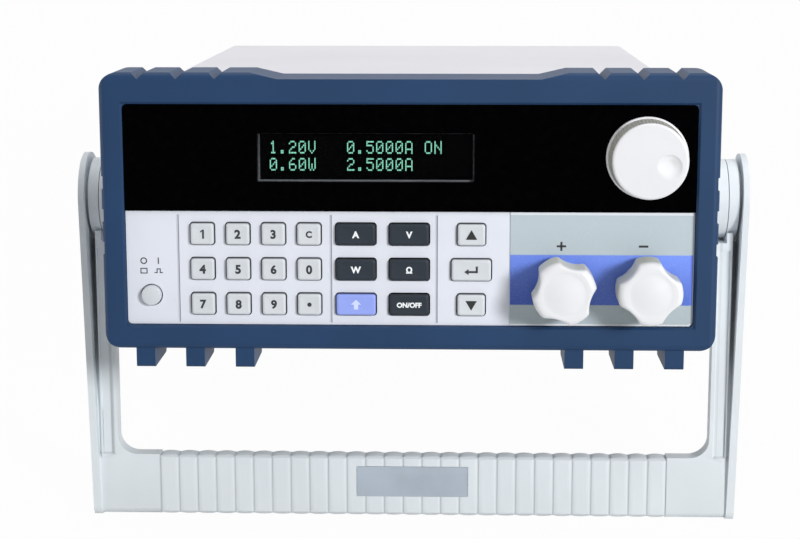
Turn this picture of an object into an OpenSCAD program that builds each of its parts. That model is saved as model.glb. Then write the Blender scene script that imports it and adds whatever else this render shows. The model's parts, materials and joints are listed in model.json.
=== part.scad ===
// Bench electronic load with a rubber-like front bumper and a swinging handle.
// Every piece is drawn in the body's own frame: X to the right, Y to the back, Z up, with zero in
// the middle of the bumper's front face, on a base line just above its lower edge. on_stand() then leans
// the body back until it stands on the swung down handle and the rear feet, as it does in use.

/* [Bumper] */
// Width of the bumper
bumper_w = 226; // [222:1:240]
// Height of the bumper's raised shoulders over the base line
bumper_h = 101.3; // [100:0.1:106]
// Depth of the bumper's lower edge under the base line
bumper_drop = 1.1; // [0:0.1:2]
// Depth of the bumper
bumper_d = 28; // [24:1:40]
// Radius of the bumper's outline corners
bumper_r = 7; // [4:0.5:10]
// Radius of the bumper's front edges
bumper_edge_r = 2.6; // [1:0.2:4]
// Width of the bumper's face beside the panel
bumper_side = 8.5; // [8:0.5:12]
// Height of the panel's lower edge over the base line
bumper_under = 8; // [7:0.1:10]
// Height of the bumper's face over the panel
bumper_over = 11.4; // [10:0.2:14]
// Depth of the lip that holds the panel
lip_d = 5; // [4:0.5:7]
// Width of the bevel round the lip's opening
lip_bevel = 0.8; // [0.4:0.1:1]
// Depth of the low middle of the bumper's top
dip_depth = 2.3; // [0.8:0.1:3]
// Half width of the low middle
dip_half_w = 47.8; // [30:0.1:60]
// Width of the slope beside the low middle
dip_slope = 10; // [5:1:20]
// Distance from the middle to the first top notch
notch_x = 70.4; // [62:0.1:74]
// Distance between the top notches
notch_pitch = 14.1; // [8:0.1:15]
// Width of a top notch
notch_w = 4.8; // [1:0.2:6]
// Depth of a top notch
notch_depth = 2.4; // [1:0.2:5]
// Height of the lowest side grip groove
grip_z = 36.5; // [20:0.5:45]
// Distance between the side grip grooves
grip_pitch = 12.2; // [8:0.2:16]
// Height of a side grip groove
grip_h = 5; // [2:0.5:7]
// Depth of a side grip groove
grip_depth = 0.8; // [0.4:0.1:1.5]
// Distance from the middle to the first foot rib
foot_x = 61; // [50:1:66]
// Distance between the foot ribs
foot_pitch = 18.5; // [12:0.5:20]
// Width of a foot rib
foot_w = 7; // [4:0.5:10]
// Height of the feet
foot_h = 8.2; // [5:0.2:12]

/* [Panel] */
// Distance from the bumper's face back to the panel's face
panel_y = 2; // [1:0.2:3]
// Height of the dark window
window_h = 39.2; // [34:0.1:42]
// Thickness of the dark window
window_t = 2.2; // [1.5:0.1:3]
// Distance from the bumper's face back to the window's face
window_y = 1; // [0.4:0.1:1.6]
// Thickness of the rim behind the lip
rim_t = 3; // [2:0.5:5]
// Width of the rim behind the lip
rim_w = 4; // [2:0.5:6]
// Distance from the panel's back to the front board
board_gap = 5; // [5:0.5:7]
// Thickness of the circuit boards
board_t = 1.6; // [1:0.2:2.4]
// Width of the panel's divider grooves
groove_w = 1; // [0.4:0.1:1.2]
// Gap round what fits in an opening
fit = 0.2; // [0.1:0.05:0.4]

/* [Keys] */
// Middle of the left column of number keys
number_key_x = -76; // [-78:0.2:-70]
// Height of the lowest row of keys over the lower edge of the panel
key_row_z = 8; // [7.2:0.1:9.6]
// Distance between number key columns
key_pitch_x = 13.1; // [11.5:0.1:14]
// Distance between key rows
key_pitch_z = 13.1; // [11.5:0.1:13.4]
// Width of a number key
number_key_w = 8.6; // [7:0.1:9.6]
// Height of every key but the wide ones
key_h = 7.9; // [7:0.1:9.6]
// Middle of the left column of function keys
function_key_x = -19.5; // [-21:0.1:-17]
// Distance between the function key columns
function_pitch_x = 19.6; // [18:0.1:21]
// Width of a function key
function_key_w = 14.5; // [12:0.1:16]
// Middle of the column of navigation keys
nav_key_x = 22.9; // [22:0.1:24]
// Width of the up and down keys
arrow_key_w = 10.1; // [8:0.1:13]
// Width of the enter key
enter_key_w = 14.5; // [12:0.1:16]
// Distance from the panel's face to the keys' faces
key_rise = 1.9; // [1:0.1:2.6]
// Travel of a key
key_travel = 1.2; // [0.5:0.1:1.4]
// Gap round a key
key_gap = 0.45; // [0.2:0.05:0.5]
// Middle of the power button across the panel
power_x = -95.3; // [-96:0.1:-92]
// Height of the power button over the lower edge of the panel
power_z = 11.1; // [8:0.1:16]
// Radius of the power button
power_r = 3.7; // [2.5:0.1:4.2]
// Travel of the power button
power_travel = 2.5; // [1:0.1:3]

/* [Display] */
// Middle of the display across the window
display_x = -15.7; // [-24:0.1:-8]
// Height of the display's middle over the lower edge of the window
display_z = 19.8; // [17.3:0.1:22.3]
// Width of the display tube
display_w = 86; // [70:1:92]
// Height of the display tube
display_h = 21; // [16:0.5:24]

/* [Adjusting knob] */
// Middle of the knob across the window
knob_x = 86.2; // [82:0.1:87]
// Height of the knob's middle over the lower edge of the window
knob_z = 20.2; // [17.3:0.1:21.3]
// Radius of the knob's base
knob_r = 14.9; // [12:0.1:16]
// Radius of the knob's face
knob_face_r = 13.7; // [10:0.1:14.4]
// Length of the knob
knob_l = 13.5; // [9:0.5:18]
// Radius of the finger dimple
dimple_r = 4; // [2:0.1:5]
// Distance of the dimple from the knob's middle
dimple_x = 8; // [6:0.1:8.5]
// Radius of the knob's shaft
shaft_r = 3; // [2:0.25:4]

/* [Input terminals] */
// Middle of the positive terminal across the panel
terminal_x = 56.3; // [53:0.1:58]
// Distance between the terminals
terminal_pitch = 30.8; // [26:0.2:34]
// Height of the terminals over the lower edge of the panel
terminal_z = 15.3; // [14:0.1:17]
// Radius of a terminal knob over its lobes
terminal_r = 11.7; // [9:0.1:12]
// Length of a terminal knob
terminal_l = 16; // [12:0.5:20]
// Depth of the scoops between a terminal knob's lobes
scoop_depth = 2.2; // [1:0.1:3]
// Number of lobes on a terminal knob
lobe_count = 4; // [3:1:8]
// Radius of a terminal knob's round face
terminal_face_r = 8; // [6:0.1:8.4]
// Radius of a terminal stud
stud_r = 4; // [2.5:0.25:5]
// Radius of the insulating base in the panel
base_r = 8.6; // [7:0.1:9]
// Thickness of the washer
washer_t = 1.2; // [0.8:0.1:2]
// Travel of the terminal knob along its thread
terminal_travel = 5; // [3:0.5:6]

/* [Case] */
// Length of the case from the bumper's face to its rear edge
case_l = 349; // [320:1:370]
// Thickness of the bumper beside the case
case_side = 6.2; // [5:0.1:7]
// Thickness of the bumper over the case
case_over = 10.8; // [9:0.1:14]
// Height of the case's underside
case_z = 3.5; // [2.5:0.1:4.5]
// Thickness of the sheet metal
sheet_t = 1.2; // [0.8:0.1:1.6]
// Height of the tray's side walls
tray_wall_h = 16; // [14:1:24]
// Distance from the case's rear edge to the rear panel
rear_inset = 1.4; // [0.8:0.1:3]
// Number of air slots in each side
slot_count = 12; // [6:1:16]
// Height of an air slot
slot_h = 34; // [20:1:50]
// Width of an air slot
slot_w = 3; // [2:0.2:4]
// Length of a rear foot
rear_foot_l = 16; // [12:1:30]
// Width of a rear foot
rear_foot_w = 34; // [20:1:44]
// Distance of a rear foot from the middle
rear_foot_x = 79.5; // [60:0.5:82]
// Distance from the case's rear edge to the rear feet
rear_foot_inset = 11; // [6:1:30]

/* [Handle] */
// Distance from the bumper's face to the handle's pivot
pivot_y = 62.9; // [56:0.1:75]
// Height of the handle's pivot
pivot_z = 47.3; // [44:0.1:52]
// Distance from the pivot to the underside of the grip
handle_l = 127.4; // [124:0.1:140]
// Radius of a pivot hub
hub_r = 15.6; // [12:0.1:17]
// Gap between the bumper's side and a handle arm
arm_gap = 5; // [3:0.5:8]
// Thickness of a handle arm
arm_t = 7.6; // [5:0.2:9]
// Depth of a handle arm from front to back
arm_d = 24; // [18:1:28]
// Height of the grip bar
grip_bar_h = 24; // [18:0.5:26]
// Radius between the arms and the grip bar
arm_fillet_r = 7.5; // [4:0.5:12]
// Gap between a handle arm and the top of its outer cover
cover_gap = 3.2; // [2:0.1:4]
// Gap between a handle arm and the lower end of its outer cover
cover_low_gap = 0.4; // [0.2:0.1:2]
// Thickness of an outer cover at its top
cover_t = 2.2; // [1.6:0.1:4.5]
// Thickness of an outer cover at its lower end
cover_low_t = 3.2; // [2:0.1:4.5]
// Radius of an outer cover's round top
cover_r = 17.8; // [16.4:0.1:20]
// Depth of an outer cover's lower end
cover_d = 26; // [25:0.5:32]
// Distance that the outer covers reach below the grip
cover_drop = 1.8; // [1:0.1:4]
// Number of ribs on the grip
rib_count = 27; // [15:2:27]
// Distance between the ribs
rib_pitch = 7.55; // [6.5:0.05:7.6]
// Height of a rib over the groove beside it
rib_rise = 0.7; // [0.3:0.05:1]
// Width of the plate on the grip
plate_w = 45; // [30:1:60]
// Height of the plate on the grip
plate_h = 12.6; // [8:0.2:15]
// Radius of a pivot pin
pivot_r = 6; // [4:0.25:8]

/* [Rear and inside] */
// Side of the square fan
fan_size = 80; // [60:1:80]
// Depth of the fan
fan_d = 25; // [20:1:30]
// Number of fan blades
blade_count = 7; // [5:1:9]
// Distance from the case's side to the fan
fan_margin = 12; // [9:1:16]
// Middle of the mains inlet across the rear
inlet_x = -72; // [-75:0.5:-68]
// Height of the mains inlet
inlet_z = 24; // [21:0.5:28]
// Middle of the serial connector across the rear
serial_x = -24; // [-26:0.5:-20]
// Height of the voltage selector and the sense terminals
upper_row_z = 60; // [50:0.5:70]
// Travel of the voltage selector
selector_travel = 6; // [4:0.2:8]
// Number of heat sink fins
fin_count = 10; // [6:1:12]
// Length of the heat sink
sink_l = 150; // [80:5:150]
// Height of the main board over the tray
standoff_h = 8; // [5:1:14]
// Length of the main board
main_board_l = 180; // [120:5:190]

/* [Hidden] */

// Colours of the finishes
bumper_colour = [0.17, 0.29, 0.44];
panel_colour = [0.88, 0.89, 0.93];
handle_colour = [0.83, 0.86, 0.87];
case_colour = [0.85, 0.84, 0.87];
light_key_colour = [0.84, 0.85, 0.88];
dark_key_colour = [0.16, 0.17, 0.20];
shift_key_colour = [0.45, 0.52, 0.86];
white_colour = [0.95, 0.95, 0.95];
black_colour = [0.05, 0.05, 0.06];
metal_colour = [0.72, 0.73, 0.75];
brass_colour = [0.78, 0.66, 0.36];
board_colour = [0.10, 0.35, 0.20];

// Smoothness of round surfaces
$fn = 48;
// Overlap that makes a cut run clear of a face
cut = 1;
// Running clearance of a shaft in its bore
running = 0.05;

// Planes and openings that several pieces share
open_w = bumper_w - 2 * bumper_side;
open_z0 = bumper_under;
open_z1 = bumper_h - bumper_over;
open_r = 1.8;
window_z0 = open_z1 - window_h;
window_back = window_y + window_t;
panel_back = lip_d;
rim_back = panel_back + rim_t;
board_y = panel_back + board_gap;
board_back = board_y + board_t;
case_w = bumper_w - 2 * case_side;
case_top = bumper_h - case_over;
inner_w = case_w - 2 * sheet_t;
floor_z = case_z + sheet_t;
ceiling_z = case_top - sheet_t;
rear_y = case_l - rear_inset;
rear_inner_y = rear_y - sheet_t;
mid_z = (case_z + case_top) / 2;
board_top_z = ceiling_z - 4;
board_low_z = floor_z + 5;
boss_r = 2.5;

// Keys: seats, stems and domes
key_front = panel_y - key_rise;
key_flange_t = 1;
key_flange_over = 0.9;
key_corner_r = 1;
key_bevel = 0.5;
mat_t = 1.2;
mat_y = board_y - mat_t;
dome_r = 3.2;
dome_y = panel_back + key_flange_t + key_travel + 0.1;
number_rows = 3;
number_columns = 4;
keys_low_z = open_z0 + key_row_z;
keys_high_z = keys_low_z + 2 * key_pitch_z;
function number_x(column) = number_key_x + column * key_pitch_x;
function function_x(column) = function_key_x + column * function_pitch_x;
function row_z(row) = keys_low_z + row * key_pitch_z;
number_spots = [for (row = [0 : number_rows - 1], column = [0 : number_columns - 1])
    [number_x(column), row_z(row)]];
function_spots = [for (row = [0 : number_rows - 1], column = [0, 1]) [function_x(column), row_z(row)]];
nav_spots = [for (row = [0 : number_rows - 1]) [nav_key_x, row_z(row)]];
key_spots = concat(number_spots, function_spots, nav_spots);
function nav_width(row) = row == 1 ? enter_key_w : arrow_key_w;

// Dividers of the panel, each beside the edge of a group of keys
number_divider_gap = 4.9;
function_divider_gap = 2.1;
nav_divider_gap = 2.7;
divider_x = [
    number_key_x - number_key_w / 2 - number_divider_gap,
    function_x(0) - function_key_w / 2 - function_divider_gap,
    function_x(1) + function_key_w / 2 + nav_divider_gap
];
label_x0 = nav_key_x + enter_key_w / 2 + 7;
label_edge = 1.5;
label_x1 = open_w / 2 - label_edge;
boss_spots = [
    [-open_w / 2 + 6, board_top_z - 5], [open_w / 2 - 6, board_top_z - 5],
    [-open_w / 2 + 6, window_z0 + 3], [open_w / 2 - 6, window_z0 + 3],
    [number_key_x - 12.5, board_low_z + 2.5], [label_x0 - 4, board_low_z + 2.5]
];
label_t = 0.4;

// Heights of what sits in the panel and the window
power_height = open_z0 + power_z;
terminal_height = open_z0 + terminal_z;
display_height = window_z0 + display_z;
knob_height = window_z0 + knob_z;

// Power button and its switch
power_flange_r = power_r + 1.4;
power_flange_t = 1;
power_stem_r = 1.8;
power_stem_y = board_back + 1;
switch_w = 10;
switch_d = 13;

// Terminals
terminal_spots = [terminal_x, terminal_x + terminal_pitch];
base_flange_r = base_r + 1.6;
base_flange_t = 1.6;
base_front = panel_y - label_t - base_flange_t;
base_back = board_back + 8;
washer_r = base_flange_r - 0.4;
washer_front = base_front - washer_t;
seat_gap = 0.2;
knob_seat = washer_front - seat_gap;
terminal_front = washer_front - terminal_l;
terminal_dome = 0.9;
terminal_face = terminal_front + terminal_dome;
terminal_shoulder_r = 2.4;
terminal_ring_r = 0.4;
scoop_r = 0.9 * terminal_r;
positive_rest_turn = 75;
negative_rest_turn = 47;
thread_hold = 5;
stud_front = washer_front - terminal_travel - thread_hold;
stud_tip_gap = 0.8;
stud_tail = 14;
stud_back = base_back + stud_tail;
nut_over = 3.5;
nut_r = stud_r + nut_over;
nut_t = 5;

// Adjusting knob and encoder
knob_back = window_y - 0.5;
knob_front = knob_back - knob_l;
knob_edge = 1;
bushing_r = shaft_r + 1.5;
bushing_front = knob_back - 3;
encoder_w = 13;
shaft_front = knob_front + 3.5;
shaft_back = board_y - 1;

// Handle: planes from the middle out
arm_x0 = bumper_w / 2 + arm_gap;
arm_x1 = arm_x0 + arm_t;
cover_x0 = arm_x1 + cover_gap;
cover_x1 = cover_x0 + cover_t;
cover_low_x0 = arm_x1 + cover_low_gap;
cover_low_x1 = cover_low_x0 + cover_low_t;
cover_low_z = -handle_l - cover_drop;
grip_z1 = -handle_l + grip_bar_h;
hub_end = arm_x1 - 2.6;
ring_x0 = hub_end + 0.3;
ring_x1 = arm_x1 + 1.6;
neck_r = 0.7 * hub_r;
arm_top = -hub_r - 0.5;
pin_end = ring_x1;
cover_corner_r = 4;
grip_edge_r = 3.5;
grip_edge_over = 0.4;
rib_r = (pow(rib_pitch / 2, 2) + pow(rib_rise, 2)) / (2 * rib_rise);
ribbed_half_l = rib_count * rib_pitch / 2;
plate_t = 0.8;
plate_z = -handle_l + grip_bar_h / 2 + 1.4;
arm_panel_depth = 0.5;

// Rear feet
rear_foot_y1 = case_l - rear_foot_inset;
rear_foot_y0 = rear_foot_y1 - rear_foot_l;
rear_foot_r = 1.5;

// The floor touches the round rear corner of the handle covers and of the rear feet
cover_touch = [pivot_y + cover_d / 2 - cover_corner_r, pivot_z - handle_l - cover_drop + cover_corner_r];
foot_touch = [rear_foot_y1 - rear_foot_r, -foot_h + rear_foot_r];
touch_span = foot_touch - cover_touch;
tilt = atan2(touch_span[1], touch_span[0])
    + asin((cover_corner_r - rear_foot_r) / norm(touch_span));
stand_z = cover_touch[0] * sin(tilt) - cover_touch[1] * cos(tilt) + cover_corner_r;

// The stand's zero is the middle of everything from front to back, where the round shoulders of
// the terminal knobs come first
terminal_shoulder = [terminal_r - terminal_shoulder_r, terminal_face + terminal_shoulder_r];
front_reach = terminal_shoulder[1] * cos(tilt)
    + (terminal_height - terminal_shoulder[0]) * sin(tilt) - terminal_shoulder_r;
rear_reach = case_l * cos(tilt) + case_top * sin(tilt);
stand_y = -(front_reach + rear_reach) / 2;

// Rear panel and what it carries
fan_x = inner_w / 2 - fan_margin - fan_size / 2;
fan_front = rear_inner_y - fan_d;
fan_hole_r = fan_size / 2 - 2;
fan_screw_pitch = fan_size - 8.5;
fan_hub_r = 16;
fan_screw_r = 2;
blade_w = 17;
blade_t = 1.6;
blade_bow_r = 24;
blade_pitch = 40;
fan_tip_gap = 0.6;
guard_wire_r = 0.7;
guard_rings = [for (i = [1 : 4]) i * (fan_hole_r - 1) / 4];
inlet_w = 28;
inlet_h = 22;
inlet_depth = 22;
inlet_mouth_w = 24;
inlet_mouth_h = 16.5;
inlet_mouth_r = 3;
inlet_wall = 5;
inlet_screw_x = 20;
inlet_flange_w = 50;
inlet_flange_t = 2;
serial_w = 17;
serial_h = 9;
serial_flange_w = 31;
serial_flange_h = 13;
selector_w = 22;
selector_h = 10;
selector_d = 9;
slider_y = rear_y - 3.2;
sense_w = 24;
sense_h = 11;

// Inside
sink_x0 = fan_x - fan_size / 2 + 4;
sink_x1 = fan_x + fan_size / 2;
sink_y1 = fan_front - 6;
sink_y0 = sink_y1 - sink_l;
sink_top = ceiling_z - 6;
sink_base_t = 7;
fin_t = 1.8;
transistor_count = 4;
transistor_t = 5;
transistor_w = 16;
transistor_h = 21;
coil_w = 58;
coil_l = 62;
coil_h = 52;
coil_rear_gap = 13.6;
coil_front_gap = 8;
coil_back = rear_y - inlet_depth - coil_rear_gap;
coil_y = coil_back - coil_l / 2;
main_board_w = 92;
main_board_gap = 8;
main_board_x0 = -inner_w / 2 + main_board_gap;
main_board_y1 = coil_back - coil_l - coil_front_gap;
main_board_y0 = main_board_y1 - main_board_l;
main_board_z = floor_z + standoff_h;
post_inset = 6;
main_board_posts = [
    for (x = [post_inset, main_board_w - post_inset], y = [post_inset, main_board_l - post_inset])
        [main_board_x0 + x, main_board_y0 + y]
];
coil_shift = 6;
coil_x = main_board_x0 + main_board_w / 2 - coil_shift;
capacitor_count = 3;
capacitor_r = 9;
capacitor_h = 27;
capacitor_pitch = 24;
capacitor_spot = [18, 30];
converter_size = [32, 46, 20];
converter_spot = [20, 80];

// Case screws: side rows on the tray's walls, then the rear panel's corners
screw_r = 1.5;
screw_head_r = 2.9;
screw_head_t = 1.4;
screw_l = 6;
screw_rise = 8;
screw_z = floor_z + screw_rise;
first_screw_y = 100;
last_screw_y = case_l - 20;
screw_spots = [for (i = [0 : 2]) first_screw_y + i * (last_screw_y - first_screw_y) / 2];

// A flat outline in X and Z, from one depth to another
module slab(y0, y1) {
    translate([0, y1, 0]) rotate([90, 0, 0]) linear_extrude(y1 - y0) children();
}

// A flat outline in Y and Z, from one side to another
module beam(x0, x1) {
    translate([x0, 0, 0]) rotate([90, 0, 90]) linear_extrude(x1 - x0) children();
}

// A flat outline in X and Y, from one height to another
module layer(z0, z1) {
    translate([0, 0, z0]) linear_extrude(z1 - z0) children();
}

// A round bar along Y
module rod(x, z, r, y0, y1) {
    translate([x, y1, z]) rotate([90, 0, 0]) cylinder(h = y1 - y0, r = r);
}

// A round bar along X
module pin(y, z, r, x0, x1) {
    translate([x0, y, z]) rotate([0, 90, 0]) cylinder(h = x1 - x0, r = r);
}

// A turned shape whose axis points to the front, from a profile of radius and depth
module turned(x, z) {
    translate([x, 0, z]) rotate([-90, 0, 0]) rotate_extrude() children();
}

// A rectangle with round corners, about its middle
module rounded(w, h, r) {
    square([w - 2 * r, h], center = true);
    square([w, h - 2 * r], center = true);
    for (x = [-1, 1], z = [-1, 1])
        translate([x * (w / 2 - r), z * (h / 2 - r)]) circle(r, $fn = 32);
}

// A rectangle with round corners, between two heights
module rounded_between(w, z0, z1, r) {
    translate([0, (z0 + z1) / 2]) rounded(w, z1 - z0, r);
}

// A rectangle between two corners
module area(x0, z0, x1, z1) {
    translate([x0, z0]) square([x1 - x0, z1 - z0]);
}

// Puts a shape on both sides of the middle
module both_sides() {
    children();
    mirror([1, 0, 0]) children();
}

// Leans the body back on its handle and its rear feet
module on_stand() {
    translate([0, stand_y, stand_z]) rotate([-tilt, 0, 0]) children();
}

// Bumper

module bumper_outline() {
    difference() {
        rounded_between(bumper_w, -bumper_drop, bumper_h, bumper_r);
        polygon([
            [-dip_half_w - dip_slope, bumper_h], [-dip_half_w, bumper_h - dip_depth],
            [dip_half_w, bumper_h - dip_depth], [dip_half_w + dip_slope, bumper_h],
            [dip_half_w + dip_slope, bumper_h + cut], [-dip_half_w - dip_slope, bumper_h + cut]
        ]);
        for (side = [-1, 1], i = [0 : 2])
            translate([side * (notch_x + i * notch_pitch), bumper_h])
                polygon([[-notch_w / 2, 0], [0, -notch_depth], [notch_w / 2, 0], [0, notch_depth]]);
        for (side = [-1, 1], i = [0 : 2])
            translate([side * bumper_w / 2, grip_z + i * grip_pitch])
                square([2 * grip_depth, grip_h], center = true);
    }
}

// A side view whose front corners are round, depth first and then length
module round_front(depth, low, high) {
    r = bumper_edge_r;
    area(r, low, depth, high);
    area(0, low + r, depth, high - r);
    for (edge = [low + r, high - r]) translate([r, edge]) circle(r, $fn = 32);
}

// Widens the lip's opening towards its front
module opening_bevel() {
    grown = lip_bevel + cut;
    half_w = open_w / 2;
    intersection() {
        beam(-bumper_w, bumper_w) polygon([
            [-cut, open_z0 - grown], [lip_bevel, open_z0], [lip_bevel, open_z1], [-cut, open_z1 + grown]
        ]);
        layer(0, bumper_h) mirror([1, -1]) polygon([
            [-cut, -half_w - grown], [lip_bevel, -half_w], [lip_bevel, half_w], [-cut, half_w + grown]
        ]);
    }
}

module foot_rib(x) {
    foot_front = 1.5;
    foot_corner_r = 1.2;
    beam(x - foot_w / 2, x + foot_w / 2)
        translate([(foot_front + bumper_d) / 2, 0])
            rounded_between(bumper_d - foot_front, -foot_h, bumper_under / 2, foot_corner_r);
}

module front_bumper() on_stand() color(bumper_colour) difference() {
    union() {
        intersection() {
            slab(0, bumper_d) bumper_outline();
            beam(-bumper_w, bumper_w) round_front(bumper_d, -bumper_drop, bumper_h);
            layer(-bumper_drop - cut, bumper_h + cut) mirror([1, -1])
                round_front(bumper_d, -bumper_w / 2, bumper_w / 2);
        }
        for (side = [-1, 1], i = [0 : 2]) foot_rib(side * (foot_x + i * foot_pitch));
    }
    slab(-cut, lip_d + cut) rounded_between(open_w, open_z0, open_z1, open_r);
    opening_bevel();
    slab(lip_d, bumper_d + cut) area(-case_w / 2 - fit, case_z, case_w / 2 + fit, case_top + fit);
}

// Front panel

module key_outline(w, gap) {
    rounded(w + 2 * gap, key_h + 2 * gap, key_corner_r + gap);
}

module panel_openings() {
    for (spot = number_spots) translate(spot) key_outline(number_key_w, key_gap);
    for (spot = function_spots) translate(spot) key_outline(function_key_w, key_gap);
    for (row = [0 : number_rows - 1]) translate(nav_spots[row]) key_outline(nav_width(row), key_gap);
    translate([power_x, power_height]) circle(power_r + key_gap);
    for (x = terminal_spots) translate([x, terminal_height]) circle(base_r + fit);
    translate([knob_x, knob_height]) circle(bushing_r + fit);
    translate([display_x, display_height]) square([display_w - 8, display_h - 4], center = true);
}

module front_panel() on_stand() color(panel_colour) difference() {
    union() {
        slab(panel_y, panel_back)
            rounded_between(open_w - 2 * fit, open_z0 + fit, open_z1 - fit, open_r - fit);
        slab(panel_back, rim_back) difference() {
            area(-case_w / 2, case_z, case_w / 2, case_top);
            area(-case_w / 2 + rim_w, case_z + rim_w, case_w / 2 - rim_w, case_top - rim_w);
        }
        for (spot = boss_spots) rod(spot[0], spot[1], boss_r, panel_back - cut, board_y);
    }
    slab(panel_y - cut, window_back) area(-open_w, window_z0, open_w, bumper_h);
    slab(panel_y - cut, panel_back + cut) panel_openings();
    for (x = divider_x)
        slab(panel_y - cut, panel_y + groove_w / 2)
            area(x - groove_w / 2, open_z0 + 1, x + groove_w / 2, window_z0 - 1.5);
}

module display_window() on_stand() color(black_colour) slab(window_y, window_back) difference() {
    intersection() {
        rounded_between(open_w - 2 * fit, open_z0 + fit, open_z1 - fit, open_r - fit);
        area(-open_w, window_z0, open_w, bumper_h);
    }
    translate([knob_x, knob_height]) circle(bushing_r + fit);
}

module input_label() on_stand() color([0.62, 0.69, 0.85]) slab(panel_y - label_t, panel_y) difference() {
    area(label_x0, open_z0 + 2 * fit, label_x1, window_z0 - fit);
    for (x = terminal_spots) translate([x, terminal_height]) circle(base_r + fit);
}

module vfd_display() on_stand() color([0.20, 0.30, 0.28])
    slab(panel_back, board_y) translate([display_x, display_height]) rounded(display_w, display_h, 1.5);

module front_board() on_stand() color(board_colour) slab(board_y, board_back) difference() {
    union() {
        area(-open_w / 2 + 2, window_z0 - 1, open_w / 2 - 2, board_top_z);
        area(-open_w / 2 + 2, board_low_z, label_x0 - 1, window_z0);
    }
    translate([power_x, power_height]) circle(power_stem_r + 0.5);
}

module keypad_mat() on_stand() color([0.75, 0.76, 0.78]) union() {
    slab(mat_y, board_y)
        area(number_key_x - key_pitch_x / 2 - 2, keys_low_z - 5.5, nav_key_x + enter_key_w / 2 + 0.5,
            keys_high_z + 5.5);
    for (spot = key_spots) rod(spot[0], spot[1], dome_r, dome_y, mat_y + mat_t / 2);
}

// Keys: a cap with bevelled edges through the panel, and a flange that stops behind it

module bevelled(depth, low, high) {
    polygon([
        [0, low + key_bevel], [key_bevel, low], [depth, low],
        [depth, high], [key_bevel, high], [0, high - key_bevel]
    ]);
}

module key(spot, w, colour) on_stand() color(colour) translate([spot[0], 0, spot[1]]) {
    cap_l = panel_back - key_front;
    translate([0, key_front, 0]) intersection() {
        slab(0, cap_l) key_outline(w, 0);
        beam(-w, w) bevelled(cap_l, -key_h / 2, key_h / 2);
        layer(-key_h, key_h) mirror([1, -1]) bevelled(cap_l, -w / 2, w / 2);
    }
    slab(panel_back, panel_back + key_flange_t) key_outline(w, key_flange_over);
}

module number_key(row, column) key([number_x(column), row_z(row)], number_key_w, light_key_colour);
module function_key(row, column) key([function_x(column), row_z(row)], function_key_w, dark_key_colour);
module shift_key() key([function_x(0), row_z(0)], function_key_w, shift_key_colour);
module nav_key(row) key([nav_key_x, row_z(row)], nav_width(row), light_key_colour);

module power_button() on_stand() color(light_key_colour) {
    dome = 0.8;
    turned(power_x, power_height) polygon([
        [0, key_front - dome], [power_r - dome, key_front - dome], [power_r, key_front],
        [power_r, panel_back], [power_flange_r, panel_back],
        [power_flange_r, panel_back + power_flange_t], [power_stem_r, panel_back + power_flange_t],
        [power_stem_r, power_stem_y], [0, power_stem_y]
    ]);
}

module power_switch() on_stand() color(black_colour) difference() {
    slab(board_back, board_back + switch_d)
        translate([power_x, power_height]) square([switch_w, switch_w], center = true);
    rod(power_x, power_height, power_stem_r + 0.3, board_back - cut, power_stem_y + power_travel + 1);
}

// Adjusting knob

module encoder() on_stand() color(metal_colour) difference() {
    union() {
        slab(panel_back, board_y)
            translate([knob_x, knob_height]) square([encoder_w, encoder_w], center = true);
        rod(knob_x, knob_height, bushing_r, bushing_front, board_y);
    }
    rod(knob_x, knob_height, shaft_r + running, bushing_front - cut, shaft_back);
}

module encoder_shaft() on_stand() color(metal_colour)
    rod(knob_x, knob_height, shaft_r, shaft_front, shaft_back);

module rotary_knob() on_stand() color(white_colour) difference() {
    turned(knob_x, knob_height) {
        polygon([
            [0, knob_front], [knob_face_r - knob_edge, knob_front], [knob_face_r, knob_front + knob_edge],
            [knob_r - 0.4, knob_back - 2], [knob_r, knob_back - 2], [knob_r, knob_back], [0, knob_back]
        ]);
        translate([knob_face_r - knob_edge, knob_front + knob_edge]) circle(knob_edge, $fn = 32);
    }
    dish_r = 2.2 * dimple_r;
    dish_rise = sqrt(pow(dish_r, 2) - pow(dimple_r, 2));
    translate([knob_x + dimple_x, knob_front - dish_rise, knob_height - 1.5]) sphere(dish_r, $fn = 48);
    rod(knob_x, knob_height, shaft_r, shaft_front, knob_back + cut);
    rod(knob_x, knob_height, bushing_r + 0.6, bushing_front - 0.6, knob_back + cut);
}

// Input terminals

module terminal_bases() on_stand() color(white_colour)
    for (x = terminal_spots) difference() {
        turned(x, terminal_height) polygon([
            [0, base_front], [base_flange_r, base_front], [base_flange_r, panel_y - label_t],
            [base_r, panel_y - label_t], [base_r, base_back], [0, base_back]
        ]);
        rod(x, terminal_height, stud_r, base_front - cut, base_back + cut);
    }

module terminal_studs() on_stand() color(brass_colour)
    for (x = terminal_spots) {
        rod(x, terminal_height, stud_r, stud_front, stud_back);
        translate([x, base_back + nut_t, terminal_height])
            rotate([90, 0, 0]) cylinder(h = nut_t, r = nut_r, $fn = 6);
    }

module washer(x) on_stand() color(metal_colour) difference() {
    rod(x, terminal_height, washer_r, washer_front, base_front);
    rod(x, terminal_height, stud_r + running, washer_front - cut, base_front + cut);
}

module lobed_outline(turn) {
    scoop_x = terminal_r - scoop_depth + scoop_r;
    difference() {
        circle(terminal_r, $fn = 96);
        for (i = [0 : lobe_count - 1])
            rotate(turn + i * 360 / lobe_count) translate([scoop_x, 0]) circle(scoop_r, $fn = 64);
    }
}

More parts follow.
